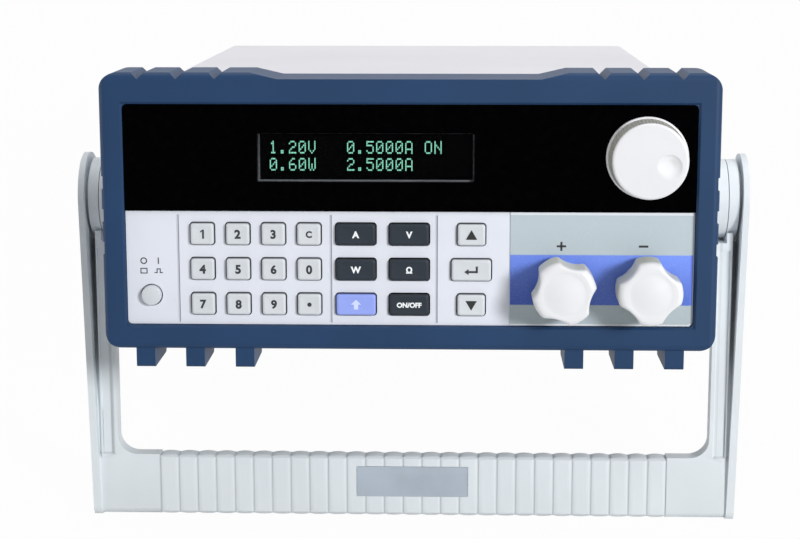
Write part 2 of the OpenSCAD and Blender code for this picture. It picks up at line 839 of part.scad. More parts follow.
// Half the section of a terminal knob: a round shoulder, a ring groove and a low dome in its face
module terminal_profile() {
    steps = 5;
    dome = [for (i = [0 : steps])
        [(i + 1) / (steps + 1) * terminal_face_r, terminal_front + pow(i / steps, 2) * terminal_dome]];
    difference() {
        union() {
            area(0, terminal_shoulder[1], terminal_r, knob_seat);
            translate(terminal_shoulder) circle(terminal_shoulder_r, $fn = 48);
            polygon(concat([[0, terminal_front]], dome,
                [[terminal_shoulder[0], terminal_face], [terminal_shoulder[0], knob_seat], [0, knob_seat]]));
        }
        translate([terminal_face_r, terminal_face]) circle(terminal_ring_r, $fn = 24);
    }
}

module terminal_knob(x, turn) on_stand() color(white_colour) difference() {
    intersection() {
        slab(terminal_front - cut, knob_seat) translate([x, terminal_height]) lobed_outline(turn);
        turned(x, terminal_height) terminal_profile();
    }
    rod(x, terminal_height, stud_r + running, stud_front - stud_tip_gap, knob_seat + cut);
}

// Case

module cover_outline(w, top, r) {
    difference() {
        rounded_between(w, case_z - 2 * r, top, r);
        area(-w, case_z - 4 * r, w, case_z);
    }
}

module side_slots() {
    slot_pitch = 2.2 * slot_w;
    for (i = [0 : slot_count - 1])
        translate([case_l / 2 - 20 + i * slot_pitch, mid_z])
            rounded(slot_w, slot_h, slot_w / 2 - 0.01);
}

module side_screw_holes(r) {
    for (y = screw_spots) translate([y, screw_z]) circle(r);
}

module top_cover() on_stand() color(case_colour) difference() {
    slab(rim_back, case_l) difference() {
        cover_outline(case_w, case_top, 2.4);
        cover_outline(inner_w, ceiling_z, 1.2);
    }
    beam(-case_w, case_w) {
        side_slots();
        side_screw_holes(screw_r + running);
    }
}

module chassis_tray() on_stand() color(metal_colour) difference() {
    union() {
        slab(rim_back, rear_inner_y) difference() {
            area(-inner_w / 2, case_z, inner_w / 2, floor_z + tray_wall_h);
            area(-inner_w / 2 + sheet_t, floor_z, inner_w / 2 - sheet_t, case_top);
        }
        for (spot = main_board_posts)
            translate([spot[0], spot[1], floor_z - sheet_t / 2])
                cylinder(h = standoff_h + sheet_t / 2, r = 3);
    }
    beam(-case_w, case_w) side_screw_holes(screw_r + running);
}

module rear_openings() {
    translate([fan_x, mid_z]) circle(fan_hole_r);
    for (x = [-1, 1], z = [-1, 1])
        translate([fan_x + x * fan_screw_pitch / 2, mid_z + z * fan_screw_pitch / 2])
            circle(fan_screw_r + running);
    translate([inlet_x, inlet_z]) square([inlet_w, inlet_h], center = true);
    translate([serial_x, inlet_z]) square([serial_w, serial_h], center = true);
    translate([inlet_x, upper_row_z]) square([selector_w, selector_h], center = true);
    translate([serial_x, upper_row_z]) square([sense_w, sense_h], center = true);
}

module rear_panel() on_stand() color(case_colour) slab(rear_inner_y, rear_y) difference() {
    area(-inner_w / 2, case_z, inner_w / 2, ceiling_z);
    rear_openings();
}

module rear_feet() on_stand() color(black_colour)
    for (side = [-1, 1])
        beam(side * rear_foot_x - rear_foot_w / 2, side * rear_foot_x + rear_foot_w / 2) difference() {
            translate([(rear_foot_y0 + rear_foot_y1) / 2, 0])
                rounded_between(rear_foot_l, -foot_h, 2 * case_z, rear_foot_r);
            area(rear_foot_y0 - cut, case_z, rear_foot_y1 + cut, case_top);
        }

module case_screws() on_stand() color(metal_colour) both_sides()
    for (y = screw_spots) {
        pin(y, screw_z, screw_r, case_w / 2 - screw_l, case_w / 2);
        pin(y, screw_z, screw_head_r, case_w / 2, case_w / 2 + screw_head_t);
    }

// Handle

module pivot_hubs() on_stand() color(handle_colour) both_sides() {
    pin(pivot_y, pivot_z, hub_r, case_w / 2, hub_end);
    pin(pivot_y, pivot_z, pivot_r, hub_end - cut, pin_end);
}

// The arms, their fillets and the bar between them, seen from the front
module handle_outline() {
    difference() {
        union() {
            area(-arm_x1, -handle_l + grip_edge_r, arm_x1, arm_top);
            both_sides() area(ring_x0, arm_top - cut, arm_x1, arm_top + 4);
        }
        area(-arm_x0 + arm_fillet_r, grip_z1, arm_x0 - arm_fillet_r, cut);
        area(-arm_x0, grip_z1 + arm_fillet_r, arm_x0, cut);
        area(-ribbed_half_l, -handle_l, ribbed_half_l, grip_z1 + cut);
        for (side = [-1, 1])
            translate([side * (arm_x0 - arm_fillet_r), grip_z1 + arm_fillet_r]) circle(arm_fillet_r);
    }
}

// A straight edge with ribs: the height is measured from the middle line
module ribbed_band(half_l, half_h) {
    square([2 * half_l, 2 * (half_h - 2 * rib_rise)], center = true);
    for (i = [0 : rib_count - 1], side = [-1, 1])
        translate([(i - (rib_count - 1) / 2) * rib_pitch, side * (half_h - rib_r)]) circle(rib_r);
    for (side = [-1, 1]) {
        x0 = side > 0 ? ribbed_half_l : -half_l;
        x1 = side > 0 ? half_l : -ribbed_half_l;
        area(x0, -half_h, x1, half_h);
    }
}

module grip_bar() {
    half_h = grip_bar_h / 2;
    intersection() {
        slab(-arm_d, arm_d) ribbed_band(cover_x0, half_h);
        layer(-grip_bar_h, grip_bar_h) ribbed_band(cover_x0, arm_d / 2);
        beam(-cover_x0, cover_x0) rounded(arm_d + grip_edge_over, grip_bar_h + grip_edge_over, grip_edge_r);
    }
}

module handle_frame() on_stand() color(handle_colour) translate([0, pivot_y, pivot_z]) difference() {
    union() {
        translate([0, 0, -handle_l + grip_bar_h / 2]) grip_bar();
        slab(-arm_d / 2, arm_d / 2) handle_outline();
        both_sides() pin(0, 0, hub_r, ring_x0, ring_x1);
        both_sides() pin(0, 0, neck_r, ring_x1 - cut, cover_x0);
    }
    slab(-arm_d, arm_d) both_sides() polygon([
        [cover_x0, cover_r], [cover_x1 + cut, cover_r], [cover_x1 + cut, cover_low_z],
        [cover_low_x0, cover_low_z]
    ]);
    both_sides() pin(0, 0, pivot_r + running, ring_x0 - cut, pin_end + 0.3);
    for (face = [-1, 1]) {
        y = face * arm_d / 2;
        both_sides() slab(y - arm_panel_depth, y + arm_panel_depth)
            area(arm_x0 + 1.6, grip_z1 + 3, arm_x1 - 0.8, arm_top - 3);
    }
    slab(-arm_d / 2 - cut, -arm_d / 2 + plate_t)
        translate([0, plate_z]) square([plate_w, plate_h], center = true);
}

module handle_plate() on_stand() color(metal_colour) translate([0, pivot_y, pivot_z])
    slab(-arm_d / 2, -arm_d / 2 + plate_t)
        translate([0, plate_z]) rounded(plate_w - 2 * fit, plate_h - 2 * fit, 0.6);

// Outline of an outer cover: a round top, straight sides that lean in, and a square lower end
module cover_side_outline() {
    corner = [cover_d / 2 - cover_corner_r, cover_low_z + cover_corner_r];
    reach = norm(corner);
    lean = atan2(corner[1], corner[0]) + acos((cover_r - cover_corner_r) / reach);
    normal = [cos(lean), sin(lean)];
    upper = cover_r * normal;
    lower = corner + cover_corner_r * normal;
    circle(cover_r, $fn = 96);
    polygon([
        upper, lower, [lower[0], corner[1]], [corner[0], cover_low_z],
        [-corner[0], cover_low_z], [-lower[0], corner[1]], [-lower[0], lower[1]], [-upper[0], upper[1]]
    ]);
    for (side = [-1, 1]) translate([side * corner[0], corner[1]]) circle(cover_corner_r, $fn = 32);
}

// Outline of an outer cover from the front: it leans in and grows thicker downwards
module cover_front_outline() {
    polygon([
        [cover_x0, cover_r], [cover_x1, cover_r], [cover_low_x1, cover_low_z], [cover_low_x0, cover_low_z]
    ]);
}

module handle_covers() on_stand() color(handle_colour) translate([0, pivot_y, pivot_z])
    both_sides() intersection() {
        beam(cover_low_x0 - cut, cover_x1 + cut) cover_side_outline();
        slab(-cover_r, cover_r) cover_front_outline();
    }

// Inside

module main_board() on_stand() color(board_colour) {
    layer(main_board_z, main_board_z + board_t)
        translate([main_board_x0, main_board_y0]) square([main_board_w, main_board_l]);
    translate([main_board_x0, main_board_y0, main_board_z]) {
        for (i = [0 : capacitor_count - 1]) translate(capacitor_spot + [i * capacitor_pitch, 0])
            cylinder(h = capacitor_h, r = capacitor_r);
        translate(converter_spot) cube(converter_size);
    }
}

module transformer() on_stand() color([0.35, 0.33, 0.32]) {
    layer(floor_z, floor_z + coil_h)
        translate([coil_x, coil_y]) square([coil_w, coil_l * 0.55], center = true);
    translate([coil_x, coil_y, floor_z + coil_h / 2])
        cube([coil_w * 0.62, coil_l, coil_h * 0.62], center = true);
}

module sink_outline() {
    area(sink_x0, floor_z, sink_x0 + sink_base_t, sink_top);
    fin_pitch = (sink_top - floor_z - fin_t) / (fin_count - 1);
    for (i = [0 : fin_count - 1])
        area(sink_x0, floor_z + i * fin_pitch, sink_x1, floor_z + i * fin_pitch + fin_t);
}

module heat_sink() on_stand() color([0.62, 0.64, 0.67]) slab(sink_y0, sink_y1) sink_outline();

module power_transistors() on_stand() color(black_colour)
    for (i = [0 : transistor_count - 1])
        translate([sink_x0 - transistor_t, sink_y0 + (i + 0.5) * sink_l / transistor_count, mid_z - 10])
            cube([transistor_t, transistor_w, transistor_h]);

module fan_frame() on_stand() color(black_colour) translate([fan_x, 0, mid_z]) {
    strut_t = 3;
    difference() {
        slab(fan_front, rear_inner_y) rounded(fan_size, fan_size, 4);
        rod(0, 0, fan_hole_r, fan_front - cut, rear_inner_y + cut);
        for (x = [-1, 1], z = [-1, 1])
            rod(x * fan_screw_pitch / 2, z * fan_screw_pitch / 2, fan_screw_r + running,
                fan_front - cut, rear_inner_y + cut);
    }
    difference() {
        union() {
            rod(0, 0, fan_hub_r, rear_inner_y - strut_t, rear_inner_y);
            for (turn = [0 : 90 : 270]) rotate([0, turn + 45, 0])
                translate([fan_hub_r - 1, rear_inner_y - strut_t, -2])
                    cube([fan_hole_r - fan_hub_r + 2, strut_t, 4]);
        }
        rod(0, 0, 1.5 + running, rear_inner_y - strut_t - cut, rear_inner_y - 0.8);
    }
}

// Section of a blade: a strip of even thickness along an arc
module blade_section() {
    reach = asin(blade_w / 2 / blade_bow_r);
    far = 2 * blade_bow_r * [cos(reach), sin(reach)];
    translate([-blade_bow_r * cos(reach / 2), 0]) intersection() {
        difference() {
            circle(blade_bow_r + blade_t / 2, $fn = 96);
            circle(blade_bow_r - blade_t / 2, $fn = 96);
        }
        polygon([[0, 0], [far[0], -far[1]], far]);
    }
}

module fan_blade() {
    tip_r = fan_hole_r - fan_tip_gap;
    blade_end = sqrt(pow(tip_r, 2) - pow(blade_w / 2, 2));
    translate([fan_hub_r - 1, 0, 0]) rotate([blade_pitch, 0, 0]) rotate([0, 90, 0]) rotate(90)
        linear_extrude(blade_end - fan_hub_r + 1) blade_section();
}

module fan_rotor() on_stand() color([0.12, 0.12, 0.13]) translate([fan_x, 0, mid_z]) {
    rotor_back = rear_inner_y - 4;
    rotor_front = fan_front + 1.5;
    rod(0, 0, fan_hub_r, rotor_front, rotor_back);
    rod(0, 0, 1.5, rotor_back - cut, rear_inner_y - 1);
    for (i = [0 : blade_count - 1])
        translate([0, (rotor_front + rotor_back) / 2, 0])
            rotate([0, i * 360 / blade_count, 0]) fan_blade();
}

module guard_ring(r) {
    translate([0, rear_y + guard_wire_r, 0]) rotate([90, 0, 0])
        rotate_extrude() translate([r, 0]) circle(guard_wire_r, $fn = 24);
}

module fan_guard() on_stand() color(metal_colour) translate([fan_x, 0, mid_z]) {
    for (r = guard_rings) guard_ring(r);
    for (x = [-1, 1], z = [-1, 1]) {
        reach = fan_screw_pitch / 2 * sqrt(2);
        turn = -atan2(z, x);
        rotate([0, turn, 0]) translate([guard_rings[0], rear_y + guard_wire_r, 0]) rotate([0, 90, 0])
            cylinder(h = reach - guard_rings[0] - 3, r = guard_wire_r * 0.9, $fn = 24);
        difference() {
            rod(x * fan_screw_pitch / 2, z * fan_screw_pitch / 2, 4, rear_y, rear_y + 2 * guard_wire_r);
            rod(x * fan_screw_pitch / 2, z * fan_screw_pitch / 2, fan_screw_r + running,
                rear_y - cut, rear_y + 3);
        }
    }
}

module mains_inlet() on_stand() color(black_colour) translate([inlet_x, 0, inlet_z]) {
    flange_h = inlet_h + 4;
    blade_l = 14;
    difference() {
        union() {
            slab(rear_y, rear_y + inlet_flange_t) rounded(inlet_flange_w, flange_h, 4);
            slab(rear_y - inlet_depth, rear_y + inlet_flange_t)
                square([inlet_w - fit, inlet_h - fit], center = true);
        }
        slab(rear_y - inlet_depth + inlet_wall, rear_y + inlet_flange_t + cut)
            rounded(inlet_mouth_w, inlet_mouth_h, inlet_mouth_r);
        for (side = [-1, 1])
            rod(side * inlet_screw_x, 0, 1.7, rear_y - cut, rear_y + inlet_flange_t + cut);
    }
    for (blade = [[-7, -2], [0, 2], [7, -2]])
        translate([blade[0] - 1, rear_y - inlet_depth + inlet_wall - cut, blade[1] - 2])
            cube([2, blade_l, 4]);
}

module selector_housing() on_stand() color(black_colour) translate([inlet_x, 0, upper_row_z]) {
    difference() {
        union() {
            slab(rear_y - selector_d, rear_y - 0.2)
                square([selector_w - fit, selector_h - fit], center = true);
            slab(rear_y - selector_d, rear_inner_y)
                square([selector_w + 6, selector_h + 3], center = true);
        }
        slab(slider_y, rear_y + cut) square([selector_w - 6, selector_h - 4], center = true);
    }
}

module selector_slider() on_stand() color(white_colour) translate([inlet_x, 0, upper_row_z]) {
    slider_w = selector_w - 6 - selector_travel - 2 * fit;
    translate([-selector_travel / 2, 0, 0]) slab(slider_y, rear_y + 0.6)
        square([slider_w, selector_h - 4.4], center = true);
}

module serial_connector() on_stand() color(metal_colour) translate([serial_x, 0, inlet_z]) {
    difference() {
        union() {
            slab(rear_y, rear_y + 1) rounded(serial_flange_w, serial_flange_h, 1.5);
            slab(rear_y - 10, rear_y + 2.5) square([serial_w - fit, serial_h - fit], center = true);
        }
        slab(rear_y - 4, rear_y + 3.5) square([serial_w - 2, serial_h - 2], center = true);
        for (x = [-12.5, 12.5]) rod(x, 0, 1.5, rear_y - cut, rear_y + 2);
    }
}

module sense_terminals() on_stand() color([0.10, 0.40, 0.22]) translate([serial_x, 0, upper_row_z])
    difference() {
        union() {
            slab(rear_y - 10, rear_y + 1.6) square([sense_w - fit, sense_h - fit], center = true);
            slab(rear_y - 10, rear_inner_y) square([sense_w + 3, sense_h + 3], center = true);
        }
        for (i = [0 : 3]) {
            x = (i - 1.5) * 5.6;
            slab(rear_y - 5, rear_y + 3) translate([x, -2.2]) square([3.4, 3.4], center = true);
            rod(x, 2.6, 1.5, rear_y - 1, rear_y + 3);
        }
    }

front_bumper();
front_panel();
display_window();
input_label();
vfd_display();
front_board();
keypad_mat();
encoder();
encoder_shaft();
rotary_knob();
power_switch();
power_button();
number_key(2, 0);  // key_1
number_key(2, 1);  // key_2
number_key(2, 2);  // key_3
number_key(2, 3);  // key_escape
number_key(1, 0);  // key_4
number_key(1, 1);  // key_5
number_key(1, 2);  // key_6
number_key(1, 3);  // key_0
number_key(0, 0);  // key_7
number_key(0, 1);  // key_8
number_key(0, 2);  // key_9
number_key(0, 3);  // key_point
function_key(2, 0);  // key_current
function_key(2, 1);  // key_voltage
function_key(1, 0);  // key_power
function_key(1, 1);  // key_resistance
shift_key();  // key_shift
function_key(0, 1);  // key_input
nav_key(2);  // key_up
nav_key(1);  // key_enter
nav_key(0);  // key_down
terminal_bases();
terminal_studs();
washer(terminal_spots[0]);  // positive_washer
washer(terminal_spots[1]);  // negative_washer
terminal_knob(terminal_spots[0], positive_rest_turn);  // positive_knob
terminal_knob(terminal_spots[1], negative_rest_turn);  // negative_knob
top_cover();
chassis_tray();
rear_panel();
rear_feet();
case_screws();
pivot_hubs();
handle_frame();
handle_covers();
handle_plate();
heat_sink();
power_transistors();
main_board();
transformer();
fan_frame();
fan_rotor();
fan_guard();
mains_inlet();
selector_housing();
selector_slider();
serial_connector();
sense_terminals();
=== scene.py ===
"""Looks of a bench electronic load.

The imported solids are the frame. This script gives every solid its finish, puts detailed surfaces
in the place of the knobs, keys, screws and fan, adds the marks and the lit readout, and sets up
the stage. Shapes are worked out in millimetres in the body's own frame, X to the right, Y to the
back and Z up from a base line just above the bumper's lower edge, and are then leaned back with
the body.
"""

import json
import math

import bmesh
import bpy
import numpy as np
from bpy.props import (FloatProperty, FloatVectorProperty, IntProperty, PointerProperty,
                       StringProperty)
from mathutils import Matrix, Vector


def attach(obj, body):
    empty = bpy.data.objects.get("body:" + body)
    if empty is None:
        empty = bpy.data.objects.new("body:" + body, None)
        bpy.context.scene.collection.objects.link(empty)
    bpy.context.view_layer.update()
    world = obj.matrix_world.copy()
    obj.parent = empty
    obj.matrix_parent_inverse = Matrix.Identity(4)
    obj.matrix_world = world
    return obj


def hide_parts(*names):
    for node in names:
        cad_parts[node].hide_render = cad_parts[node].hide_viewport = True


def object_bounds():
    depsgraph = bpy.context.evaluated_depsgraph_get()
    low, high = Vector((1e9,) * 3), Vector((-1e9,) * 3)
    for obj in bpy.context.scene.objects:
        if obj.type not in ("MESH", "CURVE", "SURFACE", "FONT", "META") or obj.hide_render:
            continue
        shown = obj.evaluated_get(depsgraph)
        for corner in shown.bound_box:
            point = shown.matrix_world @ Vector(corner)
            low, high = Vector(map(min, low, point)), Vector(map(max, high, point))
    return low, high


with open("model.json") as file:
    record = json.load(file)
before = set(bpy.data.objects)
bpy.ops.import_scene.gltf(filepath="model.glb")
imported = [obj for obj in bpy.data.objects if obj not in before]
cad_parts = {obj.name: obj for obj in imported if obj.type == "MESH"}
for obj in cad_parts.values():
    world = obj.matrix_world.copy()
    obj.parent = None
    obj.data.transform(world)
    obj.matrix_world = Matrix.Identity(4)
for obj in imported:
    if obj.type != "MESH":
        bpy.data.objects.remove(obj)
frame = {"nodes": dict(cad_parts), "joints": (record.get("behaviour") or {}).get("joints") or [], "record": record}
CAD_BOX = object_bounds()

bl_info = {
    "name": "Bench electronic load looks",
    "version": (1, 0, 0),
    "blender": (4, 5, 0),
    "location": "3D View > Sidebar > Load",
    "description": "Surfaces, finishes and stage of a bench electronic load",
    "category": "Object",
}

MM = 0.001
WHITE = (1.0, 1.0, 1.0)
JOINTS = {joint["name"]: joint for joint in frame["joints"]}
PIVOT_DEPTH, PIVOT_HEIGHT = 62.9, 47.3
RIGHT = np.array([1.0, 0.0, 0.0])
BACK = -np.array(JOINTS["knob_turn"]["axis"], float)
UP = np.cross(RIGHT, BACK)
AXES = np.array([RIGHT, BACK, UP])
ORIGIN = np.array(JOINTS["handle_swing"]["pos_m"]) - MM * (PIVOT_DEPTH * BACK + PIVOT_HEIGHT * UP)


def lean(points):
    """Takes points from millimetres in the body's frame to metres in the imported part's frame."""
    return np.asarray(points, float) @ AXES * MM + ORIGIN


def joint_spot(name):
    """Where a joint sits, in millimetres in the body's frame."""
    return AXES @ (np.array(JOINTS[name]["pos_m"]) - ORIGIN) / MM


def middle(node):
    """The middle of a solid's box, in millimetres in the body's frame."""
    vertices = frame["nodes"][node].data.vertices
    points = np.empty(len(vertices) * 3)
    vertices.foreach_get("co", points)
    points = (points.reshape(-1, 3) - ORIGIN) @ AXES.T / MM
    return (points.min(0) + points.max(0)) / 2


def paint(red, green, blue):
    """A colour in linear light from its 0 to 255 screen values."""
    return tuple(c / 12.92 if c <= 0.04045 else ((c + 0.055) / 1.055) ** 2.4
                 for c in (red / 255, green / 255, blue / 255))


# Settings


class BodyColours(bpy.types.PropertyGroup):
    """Colours of the housing"""

    bumper: FloatVectorProperty(
        name="Bumper", description="Moulded front bumper",
        subtype="COLOR", default=paint(28, 58, 94))
    handle: FloatVectorProperty(
        name="Handle", description="Moulded handle and hubs",
        subtype="COLOR", default=paint(223, 230, 234))
    panel: FloatVectorProperty(
        name="Panel", description="Painted front panel",
        subtype="COLOR", default=paint(226, 230, 240))
    case: FloatVectorProperty(
        name="Case", description="Painted sheet metal",
        subtype="COLOR", default=paint(236, 235, 242))
    band: FloatVectorProperty(
        name="Label band", description="Blue band of the input label", subtype="COLOR",
        default=paint(118, 148, 240))


class KeySizes(bpy.types.PropertyGroup):
    """Sizes of the keys and their legends"""

    edge: FloatProperty(
        name="Edge radius", description="Round edge of a key's face", unit="LENGTH", default=0.0009)
    dish: FloatProperty(
        name="Dish", description="Depth of the hollow in a key's face",
        unit="LENGTH", default=0.00022)
    digit: FloatProperty(
        name="Digit height", description="Height of a digit on a key",
        unit="LENGTH", default=0.0034)
    pale: FloatVectorProperty(
        name="Number key", description="Number and arrow keys",
        subtype="COLOR", default=paint(209, 214, 219))
    dark: FloatVectorProperty(
        name="Function key", description="Wide function keys",
        subtype="COLOR", default=paint(38, 46, 55))
    blue: FloatVectorProperty(
        name="Shift key", description="Blue shift key",
        subtype="COLOR", default=paint(150, 168, 244))


class KnobSizes(bpy.types.PropertyGroup):
    """Sizes of the adjusting knob and the terminal knobs"""

    ridges: IntProperty(
        name="Ridges", description="Grip ridges round the adjusting knob", default=72, min=12)
    ridge_depth: FloatProperty(
        name="Ridge depth", description="Depth of the grip ridges", unit="LENGTH", default=0.00028)
    dimple_depth: FloatProperty(
        name="Dimple depth", description="Depth of the finger dimple", unit="LENGTH", default=0.001)
    dimple_radius: FloatProperty(
        name="Dimple radius", description="Radius of the finger dimple",
        unit="LENGTH", default=0.0045)
    lobes: IntProperty(name="Lobes", description="Lobes of a terminal knob", default=4, min=3)
    white: FloatVectorProperty(
        name="Knob", description="White plastic of the knobs",
        subtype="COLOR", default=paint(230, 231, 234))


class ReadoutSettings(bpy.types.PropertyGroup):
    """The lit readout"""

    upper: StringProperty(
        name="Upper line", description="Upper line of the readout", default="1.20V   0.5000A ON")
    lower: StringProperty(
        name="Lower line", description="Lower line of the readout", default="0.60W   2.5000A")
    glow: FloatVectorProperty(
        name="Glow", description="Colour of the lit dots",
        subtype="COLOR", default=paint(150, 235, 205))
    strength: FloatProperty(
        name="Strength", description="Brightness of the lit dots", default=3.2, min=0)


class StageSettings(bpy.types.PropertyGroup):
    """Light of the stage"""

    sky: FloatProperty(name="Sky", description="Brightness of the even light", default=0.27, min=0)
    key_power: FloatProperty(
        name="Main lamp", description="Power of the lamp on the right",
        unit="POWER", default=30.5, min=0)
    fill_power: FloatProperty(
        name="Fill lamp", description="Power of the lamp on the left",
        unit="POWER", default=13, min=0)
    top_power: FloatProperty(
        name="Top lamp", description="Power of the lamp overhead", unit="POWER", default=15, min=0)


class LoadLooks(bpy.types.PropertyGroup):
    """All settings of the load's looks"""

    body: PointerProperty(type=BodyColours)
    keys: PointerProperty(type=KeySizes)
    knobs: PointerProperty(type=KnobSizes)
    readout: PointerProperty(type=ReadoutSettings)
    stage: PointerProperty(type=StageSettings)


def looks():
    """The settings of the load's looks in this scene."""
    return bpy.context.scene.load_looks


# Materials


class Signal:
    """A node's output. Arithmetic on it adds Math nodes to its tree."""

    def __init__(self, nodes, socket):
        self.nodes = nodes
        self.socket = socket

    def math(self, operation, *values):
        return self.nodes.node("ShaderNodeMath", {"operation": operation}, values)

    def __add__(self, other):
        return self.math("ADD", self, other)

    __radd__ = __add__

    def __mul__(self, other):
        return self.math("MULTIPLY", self, other)

    __rmul__ = __mul__

    def __sub__(self, other):
        return self.math("SUBTRACT", self, other)

    def __rsub__(self, other):
        return self.math("SUBTRACT", other, self)

    def __truediv__(self, other):
        return self.math("DIVIDE", self, other)

    def __abs__(self):
        return self.math("ABSOLUTE", self)

    def __gt__(self, other):
        return self.math("GREATER_THAN", self, other)

    def greater(self, other):
        """The larger of two values."""
        return self.math("MAXIMUM", self, other)

    def fraction(self):
        """What is over a whole number."""
        return self.math("FRACT", self)

    def off_middle(self):
        """0 halfway between two whole numbers, and 0.5 at them."""
        return abs(self.fraction() - 0.5)

    def rise(self, low, high):
        """Goes smoothly from 0 at low to 1 at high."""
        settings = {"interpolation_type": "SMOOTHSTEP"}
        return self.nodes.node("ShaderNodeMapRange", settings, (self, low, high, 0.0, 1.0))

    def within(self, low, high):
        """1 between two soft edges, each given as the two values that its change lies between."""
        return self.rise(*low) * (1 - self.rise(*high))


class Nodes:
    """A node tree that is filled from nothing."""

    def __init__(self, tree):
        self.tree = tree
        tree.nodes.clear()

    def node(self, kind, settings=None, inputs=(), out=0):
        """Adds a node: its settings first, then the values or links of its sockets."""
        made = self.tree.nodes.new(kind)
        for key, value in (settings or {}).items():
            setattr(made, key, value)
        pairs = inputs.items() if isinstance(inputs, dict) else enumerate(inputs)
        for socket, value in pairs:
            if isinstance(value, Signal):
                self.tree.links.new(value.socket, made.inputs[socket])
            elif made.inputs[socket].type == "RGBA":
                made.inputs[socket].default_value = (*value, 1.0)
            else:
                made.inputs[socket].default_value = value
        return Signal(self, made.outputs[out] if made.outputs else None)


class Finish(Nodes):
    """One procedural material on the piece's own object coordinates."""

    def __init__(self, name):
        self.material = bpy.data.materials.new(f"{name}_finish")
        self.material.use_nodes = True
        super().__init__(self.material.node_tree)
        self.place = self.node("ShaderNodeTexCoord", out="Object")

    def along(self, axis):
        """Millimetres from the body's zero along one of its axes."""
        vector = tuple(float(c) for c in axis)
        settings = {"operation": "DOT_PRODUCT"}
        dot = self.node("ShaderNodeVectorMath", settings, (self.place, vector), "Value")
        return (dot - float(np.dot(ORIGIN, axis))) / MM

    def stretched(self, scale):
        """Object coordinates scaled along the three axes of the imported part."""
        return self.node("ShaderNodeMapping", {}, {"Vector": self.place, "Scale": scale})

    def noise(self, scale, detail=2.0, roughness=0.5, place=None):
        """Even noise from 0 to 1, with scale waves to the metre."""
        inputs = {"Vector": place or self.place, "Scale": scale, "Detail": detail,
                  "Roughness": roughness}
        return self.node("ShaderNodeTexNoise", {}, inputs)

    def cells(self, scale):
        """Distance to the nearest of scattered points, with scale cells to the metre."""
        return self.node("ShaderNodeTexVoronoi", {}, {"Vector": self.place, "Scale": scale})

    def mix(self, amount, first, second):
        """A colour between two colours."""
        settings = {"data_type": "RGBA"}
        return self.node("ShaderNodeMix", settings, {0: amount, 6: first, 7: second}, 2)

    def grained(self, colour, drift_share):
        """A moulding's colour, which drifts either way by a share, the drift, and a fine grain."""
        drift = self.noise(28.0, 3.0)
        speck = self.noise(2600.0, 2.0, 0.6)
        tone = self.mix(drift.rise(0.3, 0.7), shade(colour, 1 - drift_share),
                        shade(colour, 1 + drift_share))
        return tone, drift, speck

    def flowed(self, colour):
        """A smooth moulding's colour with faint flow marks, and the haze on it."""
        flow = self.noise(60.0, 3.0)
        haze = self.noise(900.0, 2.0)
        return self.mix(flow.rise(0.3, 0.7), shade(colour, 0.975), colour), haze

    def relief(self, height, depth):
        """A normal from a height between 0 and 1 that stands for depth millimetres."""
        inputs = {"Strength": 1.0, "Distance": depth * MM, "Height": height}
        return self.node("ShaderNodeBump", {}, inputs)

    def skin(self, **values):
        """The Principled shader, with sockets named as words joined by underscores."""
        inputs = {key.replace("_", " ").title().replace("Ior", "IOR"): value
                  for key, value in values.items()}
        shader = self.node("ShaderNodeBsdfPrincipled", {}, inputs)
        self.node("ShaderNodeOutputMaterial", {}, {"Surface": shader})
        return self.material


def shade(colour, factor):
    """A colour made darker or lighter by a factor, and no lighter than white."""
    return tuple(min(1.0, c * factor) for c in colour)


# Soft edges of what is printed or clear on the front, and of the painted shade in the divider
# grooves: where each change begins and ends, in millimetres across or up

CLEAR_LEFT, CLEAR_RIGHT = (-55.6, -54.6), (23.2, 24.2)
CLEAR_FOOT, CLEAR_TOP = (61.4, 62.2), (78.8, 79.6)
BAND_FOOT, BAND_TOP = (15.9, 16.3), (34.6, 35.0)
MARGIN_LEFT, MARGIN_RIGHT, MARGIN_FOOT, MARGIN_TOP = 103.0, 104.0, (9.2, 9.4), (49.2, 49.4)
DIVIDERS, DIVIDER_EDGE = (-85.2, -28.85, 10.05), (0.42, 0.56)
DIVIDER_FOOT, DIVIDER_TOP = (8.9, 9.1), (49.1, 49.3)
PALE_LINE_FOOT, PALE_LINE_TOP, DARK_TOP = (8.8, 9.1), (49.4, 49.7), (48.6, 50.2)


def moulded(name, colour, roughness, grain, mottle, specular=0.4):
    """Moulded plastic: colour that drifts a little, and fine spark-eroded grain."""
    f = Finish(name)
    tone, drift, speck = f.grained(colour, mottle)
    pits = f.cells(1500.0)
    rough = roughness + (speck - 0.5) * 0.12 + (drift - 0.5) * 0.08
    return f.skin(base_color=tone, roughness=rough, specular_ior_level=specular,
                  normal=f.relief(speck * 0.6 + pits * 0.4, grain))


def painted_sheet(name, colour):
    """Powder-coated sheet: fine orange peel and a slight drift of tone."""
    f = Finish(name)
    peel = f.noise(1100.0, 3.0, 0.55)
    lumps = f.cells(700.0)
    drift = f.noise(9.0, 2.0)
    tone = f.mix(drift.rise(0.25, 0.75), shade(colour, 0.97), shade(colour, 1.03))
    tone = f.mix(peel.rise(0.62, 0.8) * 0.25, tone, shade(colour, 0.86))
    return f.skin(base_color=tone, roughness=0.44 + (peel - 0.5) * 0.2, specular_ior_level=0.5,
                  normal=f.relief(peel * 0.7 + lumps * 0.3, 0.02))


def glossy_plastic(name, colour):
    """Smooth moulded plastic with faint flow marks."""
    f = Finish(name)
    tone, haze = f.flowed(colour)
    return f.skin(base_color=tone, roughness=0.3 + (haze - 0.5) * 0.08, specular_ior_level=0.45,
                  normal=f.relief(haze, 0.004))


